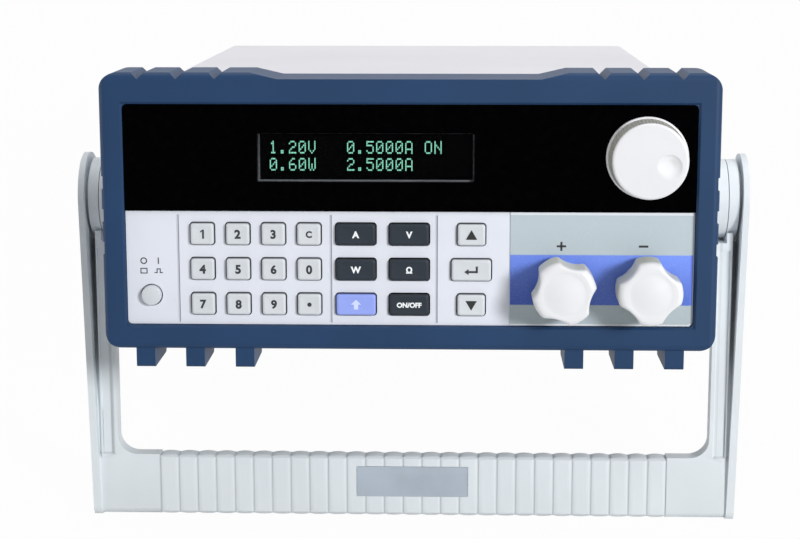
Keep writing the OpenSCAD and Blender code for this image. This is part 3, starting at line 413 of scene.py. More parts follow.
def key_plastic(name, colour, specular=0.4):
    """A key's moulding: its walls, behind the round edge, carry painted shade, a much darker grey than its face.
    """
    f = Finish(name)
    tone, _, speck = f.grained(colour, 0.03)
    # Painted shade: the walls, which stand in the gap round the key, are darkened towards a quarter of its colour.
    walls = f.along(BACK).rise(KEY_FRONT + 0.45, KEY_FRONT + 0.95)
    tone = f.mix(walls * 0.85, tone, shade(colour, 0.25))
    return f.skin(base_color=tone, roughness=0.5 + (speck - 0.5) * 0.12,
                  specular_ior_level=specular, normal=f.relief(speck, 0.01))


def knob_plastic(name, colour, side, start, end):
    """Smooth white moulding whose side, between two depths, is a dull grey of painted shade."""
    f = Finish(name)
    tone, haze = f.flowed(colour)
    shaded_skirt = f.along(BACK).within((start, start + 0.8), (end, end + 0.3))
    # Painted shade: the side is given the grey side colour in place of the white.
    tone = f.mix(shaded_skirt, tone, side)
    return f.skin(base_color=tone, roughness=0.3 + shaded_skirt * 0.15 + (haze - 0.5) * 0.08,
                  specular_ior_level=0.45, normal=f.relief(haze, 0.004))


def satin_metal(name, colour, roughness, grain=(40.0, 900.0, 900.0), depth=0.006):
    """Metal with fine drawn lines and small stains. grain gives the waves to the metre along each
    axis, so the lines run along the axis with the fewest."""
    f = Finish(name)
    lines = f.noise(1.0, 4.0, 0.6, f.stretched(grain))
    stain = f.noise(45.0, 4.0)
    tone = f.mix(stain.rise(0.35, 0.75), colour, shade(colour, 0.84))
    rough = roughness + (lines - 0.5) * 0.25 + (stain - 0.5) * 0.12
    return f.skin(base_color=tone, metallic=1.0, roughness=rough, normal=f.relief(lines, depth))


def rubber(name, colour):
    """Matt rubber with dusty high spots."""
    f = Finish(name)
    dust = f.noise(240.0, 4.0, 0.6)
    speck = f.noise(1700.0)
    tone = f.mix(dust.rise(0.5, 0.8), colour, shade(colour, 2.2))
    return f.skin(base_color=tone, roughness=0.78 + (speck - 0.5) * 0.15, specular_ior_level=0.3,
                  normal=f.relief(speck * 0.5 + dust * 0.5, 0.02))


def circuit_board(name, colour):
    """Solder mask over winding tracks, with tinned pads on a grid."""
    f = Finish(name)
    across, height = f.along(RIGHT), f.along(UP) + f.along(BACK)
    route = f.noise(1.0, 2.0, 0.5, f.stretched((60.0, 60.0, 60.0)))
    tracks = (route * 14).off_middle().rise(0.36, 0.42)
    pad_pitch = 5.08
    column, row = (across / pad_pitch).off_middle(), (height / pad_pitch).off_middle()
    pads = (1 - (column * column + row * row).rise(0.016, 0.024)) * (f.noise(55.0) > 0.52)
    tone = f.mix(tracks, colour, shade(colour, 1.55))
    tone = f.mix(pads, tone, paint(196, 196, 190))
    return f.skin(base_color=tone, roughness=0.38 - pads * 0.1, metallic=pads * 0.9,
                  normal=f.relief(tracks * 0.5 + pads * 0.5, 0.03))


def display_glass(name):
    """Black acrylic that is clear, smoked, over the display only."""
    f = Finish(name)
    clear = (f.along(RIGHT).within(CLEAR_LEFT, CLEAR_RIGHT)
             * f.along(UP).within(CLEAR_FOOT, CLEAR_TOP))
    haze = f.noise(320.0, 3.0)
    tone = f.mix(haze.rise(0.4, 0.8), paint(0, 0, 1), paint(2, 2, 3))
    return f.skin(base_color=tone, roughness=0.06 + haze * 0.04, specular_ior_level=0.01,
                  alpha=1 - clear * 0.6, normal=f.relief(haze, 0.002))


def ribbed_grip(name, colour):
    """The handle's moulding, with painted shade that makes it a little darker in the grooves between its
    ribs and on the slopes round its sunk fields and at their foot, and much darker deep in the gaps beside its
    covers."""
    f = Finish(name)
    height, depth, reach = f.along(UP), f.along(BACK), abs(f.along(RIGHT))
    tone, _, speck = f.grained(colour, 0.03)
    # Painted shade along the grooves between the ribs.
    groove = (f.along(RIGHT) / RIB_PITCH).off_middle() * RIB_PITCH
    lines = ((1 - groove.rise(0.15, 0.6)) * (1 - (reach > RIBBED_HALF + 0.3))
             * (1 - (height > PIVOT_HEIGHT + BAR_TOP - 0.3)))
    rim, floor = PIVOT_HEIGHT + RIM_LOW, PIVOT_HEIGHT + FLOOR_LOW
    # Painted shade on the slopes round the sunk fields and along their foot.
    slope = (reach.within((RIM_IN + 0.2, RIM_IN + 0.8), (FLOOR_IN, FLOOR_IN + 0.5))
             * height.rise(rim, rim + 0.6))
    foot = (height.within((rim - 0.1, rim + 0.1), (floor - 0.1, floor + 0.2))
            * (reach > RIM_IN + 0.3))
    slope = (slope + foot) * (1 - (depth > HANDLE_FRONT + 1.2))
    # Painted shade deep in the gaps beside the covers, which also falls on the gap floors.
    gap = ((reach > FIELD_OUT + 0.1) * (1 - (reach > COVER_INNER))
           * depth.rise(HANDLE_FRONT + 1.2, HANDLE_FRONT + 4.0)
           * height.rise(*GAP_FADE) * (1 - (height > PIVOT_HEIGHT + GAP_TOP)))
    tone = f.mix(lines * 0.55 + slope * 0.4, tone, shade(colour, 0.6))
    tone = f.mix(gap * 0.8, tone, shade(colour, 0.22))
    return f.skin(base_color=tone, roughness=0.46 + (speck - 0.5) * 0.12, specular_ior_level=0.4,
                  normal=f.relief(speck, 0.012))


def printed_panel(name, colour):
    """Painted moulding with painted shade inside its divider grooves and an upper margin that is a
    little darker, and whose right edge carries the colours of the label beside it."""
    f = Finish(name)
    across, height, depth = f.along(RIGHT), f.along(UP), f.along(BACK)
    tone, _, speck = f.grained(colour, 0.015)
    # Painted shade inside the divider grooves.
    lines = (sum(1 - abs(across - divider).rise(*DIVIDER_EDGE) for divider in DIVIDERS)
             * height.within(DIVIDER_FOOT, DIVIDER_TOP)
             * depth.rise(PANEL_FACE + 0.05, PANEL_FACE + 0.2))
    tone = f.mix(height.rise(*DARK_TOP) * 0.5, tone, shade(colour, 0.88))
    tone = f.mix(lines, tone, shade(colour, 0.74))
    margin = ((across > MARGIN_LEFT) * (1 - (across > MARGIN_RIGHT))
              * height.within(MARGIN_FOOT, MARGIN_TOP))
    print_tone = f.mix(height.within(BAND_FOOT, BAND_TOP), paint(180, 193, 199),
                       paint(104, 132, 228))
    tone = f.mix(margin, tone, print_tone)
    return f.skin(base_color=tone, roughness=0.44 + (speck - 0.5) * 0.1, specular_ior_level=0.35,
                  normal=f.relief(speck, 0.006))


def input_film(name, blue):
    """Printed film: grey, a little darker towards the bottom, with one blue band that pales upwards and
    to the right as painted shadow of the terminal knobs, and a pale line above and below.
    """
    f = Finish(name)
    across, height = f.along(RIGHT), f.along(UP)
    # Painted shadow of the terminal knobs: the blue band darkens towards its foot and its left.
    painted_shade_fade = height.rise(14.0, 37.0) * 0.7 + across.rise(40.0, 104.0) * 0.3
    print_dots = f.noise(1500.0, 1.0)
    grey = f.mix(height.rise(8.0, 52.0), paint(174, 187, 193), paint(187, 200, 207))
    deep = f.mix(painted_shade_fade, paint(54, 86, 178), shade(blue, 1.08))
    tone = f.mix(height.within(BAND_FOOT, BAND_TOP), grey, deep)
    pale_lines = height.rise(*PALE_LINE_TOP) + (1 - height.rise(*PALE_LINE_FOOT))
    tone = f.mix(pale_lines * 0.8, tone, paint(232, 236, 242))
    tone = f.mix(print_dots.rise(0.5, 0.8) * 0.06, tone, paint(255, 255, 255))
    return f.skin(base_color=tone, roughness=0.34 + (print_dots - 0.5) * 0.1,
                  specular_ior_level=0.4, normal=f.relief(print_dots, 0.003))


def tube_glass(name):
    """Dark display glass with a faint grid."""
    f = Finish(name)
    grid_pitch = 0.6
    across, height = f.along(RIGHT) / grid_pitch, f.along(UP) / grid_pitch
    mesh = (across.off_middle() + height.off_middle()) * 0.5
    dust = f.noise(700.0)
    tone = f.mix(mesh.rise(0.3, 0.48) * 0.6, paint(3, 5, 5), paint(12, 17, 16))
    return f.skin(base_color=tone, roughness=0.18 + (dust - 0.5) * 0.05, specular_ior_level=0.1,
                  normal=f.relief(dust, 0.002))


def printed(name, colour):
    """Printing ink with a slightly uneven lay."""
    f = Finish(name)
    lay = f.noise(2200.0, 2.0)
    tone = f.mix(lay.rise(0.35, 0.75), colour, shade(colour, 1.12))
    return f.skin(base_color=tone, roughness=0.5 + (lay - 0.5) * 0.1, normal=f.relief(lay, 0.003))


def lit_dots(name, colour, strength):
    """Glowing phosphor, a little brighter here and there."""
    f = Finish(name)
    flicker = f.noise(900.0)
    tone = f.mix(flicker.rise(0.3, 0.7), shade(colour, 0.85), colour)
    return f.skin(base_color=(0.01, 0.02, 0.02), roughness=0.5, emission_color=tone,
                  emission_strength=strength)


def laminated_core(name, colour):
    """Stacked sheets under dark varnish."""
    f = Finish(name)
    sheet_pitch = 0.5
    sheets = (f.along(UP) / sheet_pitch).fraction()
    runs = f.noise(120.0, 4.0)
    tone = f.mix(sheets.rise(0.1, 0.3) * 0.5, shade(colour, 0.6), colour)
    tone = f.mix(runs.rise(0.5, 0.8) * 0.5, tone, shade(colour, 1.7))
    return f.skin(base_color=tone, roughness=0.45 + (runs - 0.5) * 0.2, metallic=0.4,
                  normal=f.relief(sheets, 0.05))


def finish(name):
    """The material of that name, made on its first use."""
    known = bpy.data.materials.get(f"{name}_finish")
    if known:
        return known
    body, keys, knobs, readout = looks().body, looks().keys, looks().knobs, looks().readout
    makers = {
        "bumper": lambda: moulded(name, tuple(body.bumper), 0.5, 0.014, 0.05, 0.25),
        "handle": lambda: moulded(name, tuple(body.handle), 0.46, 0.016, 0.03),
        "handle_grip": lambda: ribbed_grip(name, tuple(body.handle)),
        "panel": lambda: printed_panel(name, tuple(body.panel)),
        "case_paint": lambda: painted_sheet(name, tuple(body.case)),
        "light_key": lambda: key_plastic(name, tuple(keys.pale)),
        "dark_key": lambda: key_plastic(name, tuple(keys.dark), 0.25),
        "shift_key": lambda: key_plastic(name, tuple(keys.blue)),
        "button": lambda: moulded(name, tuple(keys.pale), 0.5, 0.01, 0.03),
        "knob_white": lambda: glossy_plastic(name, tuple(knobs.white)),
        # The grey side colours of the adjusting and terminal knobs are painted shade.
        "ridged_knob": lambda: knob_plastic(name, tuple(knobs.white), paint(172, 172, 164),
                                            KNOB_FRONT + 0.7, -2.0),
        "lobed_knob": lambda: knob_plastic(name, tuple(knobs.white), paint(206, 206, 196),
                                           TERMINAL_FACE + 2.2, 10.0),
        "black_plastic": lambda: moulded(name, paint(24, 25, 28), 0.48, 0.02, 0.1),
        "green_plastic": lambda: moulded(name, paint(28, 104, 66), 0.4, 0.01, 0.06),
        "window": lambda: display_glass(name),
        "label": lambda: input_film(name, tuple(body.band)),
        "display": lambda: tube_glass(name),
        "board": lambda: circuit_board(name, paint(22, 92, 56)),
        "silicone": lambda: rubber(name, paint(176, 178, 182)),
        "foot_rubber": lambda: rubber(name, paint(24, 24, 26)),
        "zinc": lambda: satin_metal(name, paint(196, 198, 202), 0.3),
        "zinc_sheet": lambda: satin_metal(name, paint(186, 188, 192), 0.36,
                                          (30.0, 500.0, 500.0), 0.008),
        "plate": lambda: satin_metal(name, paint(176, 186, 198), 0.34,
                                     (12.0, 1200.0, 1200.0), 0.008),
        "aluminium": lambda: satin_metal(name, paint(190, 192, 196), 0.4,
                                         (900.0, 30.0, 900.0), 0.02),
        "brass": lambda: satin_metal(name, paint(206, 168, 92), 0.28, (600.0, 40.0, 600.0), 0.01),
        "chrome_wire": lambda: satin_metal(name, paint(206, 208, 212), 0.16,
                                           (300.0, 300.0, 300.0), 0.003),
        "core": lambda: laminated_core(name, paint(74, 68, 66)),
        "dark_ink": lambda: printed(name, paint(34, 36, 42)),
        "black_ink": lambda: printed(name, paint(8, 8, 10)),
        "white_ink": lambda: printed(name, paint(236, 240, 244)),
        "pale_blue_ink": lambda: printed(name, paint(206, 216, 252)),
        "phosphor": lambda: lit_dots(name, tuple(readout.glow), readout.strength),
    }
    return makers[name]()


# Surfaces


def circle(count):
    """Angles once round, without the last, which is the first again."""
    return np.linspace(0, 2 * math.pi, count, endpoint=False)


def round_outline(middle_x, middle_z, radius, count):
    """Points in X and Z round a circle."""
    turn = circle(count)
    return np.column_stack((middle_x + radius * np.cos(turn), middle_z + radius * np.sin(turn)))


def grid_faces(rows, columns):
    """Quads between the neighbouring points of a grid whose last column meets its first."""
    row, column = np.arange(rows - 1)[:, None], np.arange(columns)[None, :]
    after = (column + 1) % columns
    corners = (row * columns + column, row * columns + after,
               (row + 1) * columns + after, (row + 1) * columns + column)
    return np.stack(corners, -1).reshape(-1, 4)


def put_mesh(name, points, faces, material, body, slot, soft_angle):
    """Makes a mesh object from body points in millimetres, merges doubles, turns its faces
    outwards, shades it smooth up to an angle and lets it ride."""
    mesh = bpy.data.meshes.new(name)
    mesh.from_pydata(lean(points).tolist(), [], [list(face) for face in faces])
    work = bmesh.new()
    work.from_mesh(mesh)
    bmesh.ops.remove_doubles(work, verts=work.verts, dist=2e-6)
    bmesh.ops.dissolve_degenerate(work, edges=work.edges, dist=1e-6)
    bmesh.ops.recalc_face_normals(work, faces=work.faces)
    work.to_mesh(mesh)
    work.free()
    mesh.shade_smooth()
    mesh.set_sharp_from_angle(angle=math.radians(soft_angle))
    mesh.materials.append(material)
    piece = bpy.data.objects.new(name, mesh)
    bpy.context.scene.collection.objects.link(piece)
    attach(piece, body)
    return piece


def join_grids(grids):
    """Points and quads of several closed grids together."""
    points, faces, start = [], [], 0
    for grid in grids:
        rows, columns, _ = grid.shape
        points.append(grid.reshape(-1, 3))
        faces.append(grid_faces(rows, columns) + start)
        start += rows * columns
    return np.concatenate(points), np.concatenate(faces)


def closed_ends(grid):
    """A grid with its first and last rows drawn together to their middles."""
    ends = [np.broadcast_to(row.mean(0), row.shape) for row in (grid[0], grid[-1])]
    return np.concatenate((ends[:1], grid, ends[1:]))


def turned(profile, middle_x, middle_z, columns, outline=None, relief=None):
    """A profile of (radius, depth) carried once round an axis along Y. outline(angle, radius, row)
    may change the radius, and relief(x, z, row) pushes points back by a depth."""
    profile = np.asarray(profile, float)
    angle = circle(columns)[None, :]
    radius = np.repeat(profile[:, :1], columns, 1)
    depth = np.repeat(profile[:, 1:], columns, 1)
    row = np.arange(len(profile))[:, None]
    if outline:
        radius = outline(angle, radius, row)
    x, z = radius * np.cos(angle), radius * np.sin(angle)
    if relief:
        depth = depth + relief(x, z, row)
    return np.stack((x + middle_x, depth, z + middle_z), -1)


def arc(start, end, bulge, count):
    """Points of a quarter ellipse from start to end; bulge 0 leaves start sideways, 1 upwards."""
    turn = np.linspace(0, math.pi / 2, count)[:, None]
    parts = (np.sin(turn), 1 - np.cos(turn))
    first, second = parts if bulge == 0 else (parts[1], parts[0])
    start, end = np.asarray(start), np.asarray(end)
    return start + (end - start) * np.hstack((first, second))


def rounded_ring(width, height, radius):
    """Points round a rectangle with round corners, anticlockwise from the lower right one."""
    count = 8
    radius = min(radius, width / 2 - 1e-3, height / 2 - 1e-3)
    turn = np.concatenate([np.linspace(q, q + 1, count) * math.pi / 2 for q in (-1, 0, 1, 2)])
    sign_x = np.repeat((1, 1, -1, -1), count)
    sign_z = np.repeat((-1, 1, 1, -1), count)
    return np.stack((sign_x * (width / 2 - radius) + radius * np.cos(turn),
                     sign_z * (height / 2 - radius) + radius * np.sin(turn)), -1)


def stacked_rings(rings, middle_x, middle_z):
    """A closed surface through rings, each given as (points in X and Z, depth)."""
    return np.stack([np.insert(ring + (middle_x, middle_z), 1, depth, axis=1)
                     for ring, depth in rings])


def prism(outline, front, back):
    """An outline in X and Z given a thickness: two flat faces and a wall."""
    outline = np.asarray(outline, float)
    count = len(outline)
    near, far = (np.insert(outline, 1, depth, axis=1) for depth in (front, back))
    index = np.arange(count)
    after = (index + 1) % count
    walls = np.column_stack((index, after, after + count, index + count)).tolist()
    return np.concatenate((near, far)), [list(index), list(index[::-1] + count), *walls]


def join_solids(solids):
    """Points and faces of several solids together."""
    points, faces, start = [], [], 0
    for solid_points, solid_faces in solids:
        points.append(solid_points)
        faces += [[int(i) + start for i in face] for face in solid_faces]
        start += len(solid_points)
    return np.concatenate(points), faces


def box_solid(low, high):
    """A plain block between two corners in X, Y and Z."""
    (x0, y0, z0), (x1, y1, z1) = low, high
    return prism([(x0, z0), (x1, z0), (x1, z1), (x0, z1)], y0, y1)


def lettering(text, size, middle_x, middle_z, front, thickness):
    """Points and faces of generic characters, centred, and facing the front."""
    curve = bpy.data.curves.new("letters", "FONT")
    curve.body, curve.size, curve.align_x = text, 1.0, "CENTER"
    curve.extrude, curve.offset, curve.resolution_u = 0.5, 0.045, 6
    holder = bpy.data.objects.new("letters", curve)
    bpy.context.scene.collection.objects.link(holder)
    bpy.context.view_layer.update()
    solved = holder.evaluated_get(bpy.context.evaluated_depsgraph_get())
    mesh = bpy.data.meshes.new_from_object(solved)
    points = np.empty(len(mesh.vertices) * 3)
    mesh.vertices.foreach_get("co", points)
    points = points.reshape(-1, 3)
    faces = [list(face.vertices) for face in mesh.polygons]
    bpy.data.objects.remove(holder)
    bpy.data.curves.remove(curve)
    bpy.data.meshes.remove(mesh)
    low, high = points.min(0), points.max(0)
    scale = size / (high[1] - low[1])
    x = (points[:, 0] - (low[0] + high[0]) / 2) * scale + middle_x
    z = (points[:, 1] - (low[1] + high[1]) / 2) * scale + middle_z
    y = front + (0.5 - points[:, 2]) * thickness
    return np.column_stack((x, y, z)), faces


# Keys

KEY_FRONT, PANEL_FACE, PANEL_BACK, FLANGE_BACK = 0.1, 2.0, 5.0, 6.0
KEY_HEIGHT, KEY_CORNER, FLANGE_OVER = 7.9, 1.0, 0.9
NUMBER_W, FUNCTION_W, ARROW_W, ENTER_W = 8.6, 14.5, 10.1, 14.5
DARK_KEYS = ("key_current", "key_voltage", "key_power", "key_resistance", "key_input")
KEY_WIDTHS = {
    **{f"key_{name}": NUMBER_W for name in (*"1234567890", "escape", "point")},
    **{f"key_{name}": FUNCTION_W
       for name in ("current", "voltage", "power", "resistance", "shift", "input")},
    "key_up": ARROW_W, "key_down": ARROW_W, "key_enter": ENTER_W,
}


def key_slot(node):
    """The material slot of a key."""
    if node == "key_shift":
        return "shift_key"
    return "dark_key" if node in DARK_KEYS else "light_key"


def key_surface(node):
    """A key: its flange, straight walls, a quarter-round edge, and a face that sinks as one minus
    the square of the distance from the middle."""
    edge, dish = looks().keys.edge / MM, looks().keys.dish / MM
    width = KEY_WIDTHS[node]
    x, _, z = middle(node)
    over = 2 * FLANGE_OVER

    def ring(inset, radius):
        return rounded_ring(width - 2 * inset, KEY_HEIGHT - 2 * inset, radius)

    flange = rounded_ring(width + over, KEY_HEIGHT + over, KEY_CORNER + FLANGE_OVER)
    rings = [(flange * 0.001, FLANGE_BACK), (flange, FLANGE_BACK), (flange, PANEL_BACK),
             (ring(0, KEY_CORNER), PANEL_BACK), (ring(0, KEY_CORNER), KEY_FRONT + edge)]
    for turn in np.linspace(0, math.pi / 2, 7)[1:]:
        inset = edge * (1 - math.cos(turn))
        rings.append((ring(inset, KEY_CORNER), KEY_FRONT + edge * (1 - math.sin(turn))))
    face = ring(edge, KEY_CORNER - edge * 0.5)
    for share in (0.97, 0.92, 0.84, 0.7, 0.5, 0.25, 0.0005):
        rings.append((face * share, KEY_FRONT + dish * (1 - share ** 2)))
    return stacked_rings(rings, x, z)


# Outlines of marks about their middle, anticlockwise: in millimetres, and for the digit one in
# shares of its height
MARKS = {
    "key_up": [(-2.1, -1.7), (2.1, -1.7), (0, 1.9)],
    "key_down": [(-2.1, 1.7), (0, -1.9), (2.1, 1.7)],
    "key_shift": [(-0.8, -1.7), (0.8, -1.7), (0.8, 0.1), (1.9, 0.1), (0, 2.0), (-1.9, 0.1),
                  (-0.8, 0.1)],
    "key_enter": [(-2.6, -0.6), (-1.0, -1.7), (-1.0, -1.0), (2.4, -1.0), (2.4, 1.5), (1.6, 1.5),
                  (1.6, -0.2), (-1.0, -0.2), (-1.0, 0.5)],
    "key_1": [(0.02, -0.5), (0.22, -0.5), (0.22, 0.5), (0.07, 0.5), (-0.2, 0.32), (-0.2, 0.16),
              (0.02, 0.29)],
}
LEGENDS = {
    **{f"key_{digit}": digit for digit in "1234567890"},
    "key_escape": "C", "key_current": "A", "key_voltage": "V", "key_power": "W",
    "key_resistance": "Ω", "key_input": "ON/OFF",
}
SMALL_LEGEND, UNIT_LEGEND, INK_PROUD, INK_THICK = 0.58, 0.75, 0.04, 0.12


def legend_solid(node, front, thickness):
    """The mark on a key: a character, a dot or an arrow."""
    x, _, z = middle(node)
    size, back = looks().keys.digit / MM, front + thickness
    if node == "key_point":
        return prism(round_outline(x, z, 0.8, 24), front, back)
    if node in MARKS:
        scale = size if node == "key_1" else 1.0
        return prism(np.array(MARKS[node]) * scale + (x, z), front, back)
    if node == "key_6":
        points, faces = lettering("9", size, 0, 0, front, thickness)
        return points * (-1, 1, -1) + (x, 0, z), faces
    if node == "key_input":
        size *= SMALL_LEGEND
    elif key_slot(node) == "dark_key" or node == "key_escape":
        size *= UNIT_LEGEND
    return lettering(LEGENDS[node], size, x, z, front, thickness)


# Knobs

KNOB_BACK, KNOB_FRONT, KNOB_BASE_R, KNOB_FACE_R, KNOB_EDGE = 0.5, -13.0, 14.9, 13.7, 1.1
KNOB_BORE_R, KNOB_SLEEVE_R, KNOB_SLEEVE_FRONT, KNOB_SIDE_BACK = 3.05, 5.1, -3.1, -1.9
DIMPLE_X, DIMPLE_Z, DIMPLE_POWER, DIAGONAL = 6.7, -1.9, 3.5, 1.414
TERMINAL_BACK, TERMINAL_FACE, TERMINAL_R, TERMINAL_BORE = -1.4, -16.3, 11.7, (4.05, -12.0)
SCOOP_DEPTH, GROOVE_R, DOME_FOOT, TERMINAL_DOME = 2.2, 7.75, 0.04, 0.92


def adjusting_knob_surface():
    """A turned profile whose side carries sine ridges, with a dimple beside the middle of the
    face whose depth falls as the power 3.5 of the distance and grows towards its upper right."""
    knobs = looks().knobs
    x0, _, z0 = middle("rotary_knob")
    ridge, dimple = knobs.ridge_depth / MM, knobs.dimple_depth / MM
    dimple_r = knobs.dimple_radius / MM
    bore_end, edge_back = KNOB_FRONT + 3.6, KNOB_FRONT + KNOB_EDGE
    bore = [(0, bore_end), (KNOB_BORE_R, bore_end), (KNOB_BORE_R, KNOB_SLEEVE_FRONT),
            (KNOB_SLEEVE_R, KNOB_SLEEVE_FRONT), (KNOB_SLEEVE_R, KNOB_BACK)]
    base = [(KNOB_BASE_R - 0.3, KNOB_BACK), (KNOB_BASE_R, KNOB_BACK - 0.3), (KNOB_BASE_R, -1.3),
            (KNOB_BASE_R - 0.15, -1.5), (KNOB_BASE_R - 0.7, -1.6)]
    side_depth = np.linspace(KNOB_SIDE_BACK, edge_back, 22)
    side_r = np.interp(side_depth, (edge_back, KNOB_SIDE_BACK), (KNOB_FACE_R, KNOB_BASE_R - 0.6))
    side = np.column_stack((side_r, side_depth))
    edge = arc((KNOB_FACE_R, edge_back), (KNOB_FACE_R - KNOB_EDGE, KNOB_FRONT), 1, 9)[1:]
    face_r = np.concatenate((np.linspace(KNOB_FACE_R - 1.2, 1.0, 46), [0.4, 0.0]))
    face = np.column_stack((face_r, np.full(len(face_r), KNOB_FRONT)))
    profile = np.concatenate((bore, base, side, edge, face))
    first = len(bore) + len(base)
    last = first + len(side)

    def outline(angle, radius, row):
        wave = 0.5 - 0.5 * np.cos(angle * knobs.ridges)
        ends = np.clip((row - first) / 2.0, 0, 1) * np.clip((last - 1 - row) / 2.0, 0, 1)
        return radius - ridge * wave * ends * ((row >= first) & (row < last))

    def relief(x, z, row):
        distance = np.hypot(x - DIMPLE_X, z - DIMPLE_Z) / dimple_r
        uphill = ((x - DIMPLE_X) + (z - DIMPLE_Z)) / (DIAGONAL * dimple_r)
        bowl = np.clip(1.02 - distance ** DIMPLE_POWER, 0, 1) * (0.7 + 0.7 * uphill)
        return dimple * bowl * (row >= last)

    return turned(profile, x0, z0, 6 * knobs.ridges, outline, relief)


def lobed_radius(angle, lobes, phase):
    """The smaller of a circle and of scoops cut by circles round it, joined by a soft minimum."""
    scoop_r = 0.9 * TERMINAL_R
    scoop_at = TERMINAL_R - SCOOP_DEPTH + scoop_r
    pitch = 2 * math.pi / lobes
    offset = (angle - phase + pitch / 2) % pitch - pitch / 2
    reach = scoop_r ** 2 - (scoop_at * np.sin(offset)) ** 2
    cut = np.where(reach > 0, scoop_at * np.cos(offset) - np.sqrt(np.maximum(reach, 0)),
                   TERMINAL_R * 1.1)
    power = 40
    return (TERMINAL_R ** -power + cut ** -power) ** (-1 / power)


def terminal_knob_surface(node, phase):
    """A lobed outline carried along Y: a straight side, a quarter-round shoulder that is wide on
    the lobes and narrow in the scoops, a flat face, a shallow round groove, and a dome that goes
    as the power 1.5 of one minus the square of the distance."""
    x0, _, z0 = middle(node)
    lobes = looks().knobs.lobes
    angle = circle(56 * lobes)
    rim = lobed_radius(angle, lobes, phase)
    shoulder = 0.8 + 1.6 * (rim - rim.min()) / (rim.max() - rim.min())
    even = np.ones_like(angle)
    foot, dome_r = 0.45, GROOVE_R - 0.3
    bore_r, bore_end = TERMINAL_BORE
    rows = [(0.0 * even, bore_end * even), (bore_r * even, bore_end * even),
            (bore_r * even, TERMINAL_BACK * even), (rim - foot, TERMINAL_BACK * even)]
    for turn in np.linspace(0, math.pi / 2, 5)[1:]:
        rows.append((rim - foot * (1 - math.sin(turn)),
                     TERMINAL_BACK - foot * (1 - math.cos(turn)) * even))
    start, end = TERMINAL_BACK - foot, TERMINAL_FACE + shoulder
    for share in np.linspace(0, 1, 7)[1:]:
        rows.append((rim, start + (end - start) * share))
    for turn in np.linspace(0, math.pi / 2, 12)[1:]:
        rows.append((rim - shoulder * (1 - math.cos(turn)),
                     TERMINAL_FACE + shoulder * (1 - math.sin(turn))))
    for radius, depth in ((0.4, 0.0), (0.2, 0.02), (0.0, 0.05), (-0.15, 0.05), (-0.3, DOME_FOOT)):
        rows.append(((GROOVE_R + radius) * even, (TERMINAL_FACE + depth) * even))
    for share in np.linspace(1, 0, 18)[1:]:
        rise = TERMINAL_DOME * (1 - share ** 2) ** 1.5
        rows.append((dome_r * share * even, (TERMINAL_FACE + DOME_FOOT - rise) * even))
    radius, depth = (np.stack(part) for part in zip(*rows))
    return np.stack((x0 + radius * np.cos(angle), depth, z0 + radius * np.sin(angle)), -1)


# Panel marks: bars given by their left, right, lower and upper edges

LABEL_FACE, INK_LAY = 1.6, 0.05
PLUS_SIGN = ((54.1, 57.5, 37.65, 38.4), (55.42, 56.18, 36.35, 39.7))
MINUS_SIGN = ((84.05, 87.5, 37.65, 38.45),)
OFF_SIGN_AT = (-98, 31.9)
ON_SIGN = ((-92.8, -92.4, 30.7, 33.1),)
BUTTON_OUT_SIGN = ((-99.3, -96.7, 27.1, 27.45), (-99.3, -96.7, 28.85, 29.2),
                   (-99.3, -98.95, 27.1, 29.2), (-97.05, -96.7, 27.1, 29.2))
BUTTON_IN_SIGN = ((-94.1, -93.0, 27.3, 27.65), (-92.1, -91.0, 27.3, 27.65),
                  (-93.3, -91.8, 28.7, 29.05), (-93.3, -92.95, 27.3, 29.05),
                  (-92.15, -91.8, 27.3, 29.05))


def ink_bars(bars, face):
    """Thin blocks half sunk into a face."""
    return [box_solid((left, face - INK_LAY, low), (right, face + INK_LAY, high))
            for left, right, low, high in bars]


# Readout

DOTS = {
    "0": "01110 10001 10011 10101 11001 10001 01110",
    "1": "00100 01100 00100 00100 00100 00100 01110",
    "2": "01110 10001 00001 00110 01000 10000 11111",
    "3": "11111 00010 00100 00010 00001 10001 01110",
    "4": "00010 00110 01010 10010 11111 00010 00010",
    "5": "11111 10000 11110 00001 00001 10001 01110",
    "6": "00110 01000 10000 11110 10001 10001 01110",
    "7": "11111 00001 00010 00100 01000 01000 01000",
    "8": "01110 10001 10001 01110 10001 10001 01110",
    "9": "01110 10001 10001 01111 00001 00010 01100",
    ".": "00000 00000 00000 00000 00000 01100 01100",
    "A": "01110 10001 10001 10001 11111 10001 10001",
    "V": "10001 10001 10001 10001 10001 01010 00100",
    "W": "10001 10001 10001 10101 10101 10101 01010",
    "O": "01110 10001 10001 10001 10001 10001 01110",
    "N": "10001 10001 11001 10101 10011 10001 10001",
    "F": "11111 10000 10000 11110 10000 10000 10000",
    " ": "00000 00000 00000 00000 00000 00000 00000",
}
CHAR_PITCH, CHAR_W, CHAR_H = 3.55, 2.75, 4.75
READOUT_LEFT, READOUT_TOPS, READOUT_DEPTH = -51.2, (76.2, 69.9), 4.9


def readout_solids():
    """Small tiles, one for each lit dot of five by seven characters."""
    step_x, step_z = CHAR_W / 5, CHAR_H / 7
    lines = (looks().readout.upper.upper(), looks().readout.lower.upper())
    corners = []
    for text, top in zip(lines, READOUT_TOPS):
        for place, letter in enumerate(text):
            bits = np.array([[bit == "1" for bit in row] for row in DOTS[letter].split()])
            row, column = np.nonzero(bits)
            corners.append(np.column_stack((READOUT_LEFT + place * CHAR_PITCH + column * step_x,
                                            top - (row + 1) * step_z)))
    corners = np.concatenate(corners)
    gap = thickness = 0.08
    return [box_solid((x + gap, READOUT_DEPTH, z + gap),
                      (x + step_x - gap, READOUT_DEPTH + thickness, z + step_z - gap))
            for x, z in corners]


# Handle

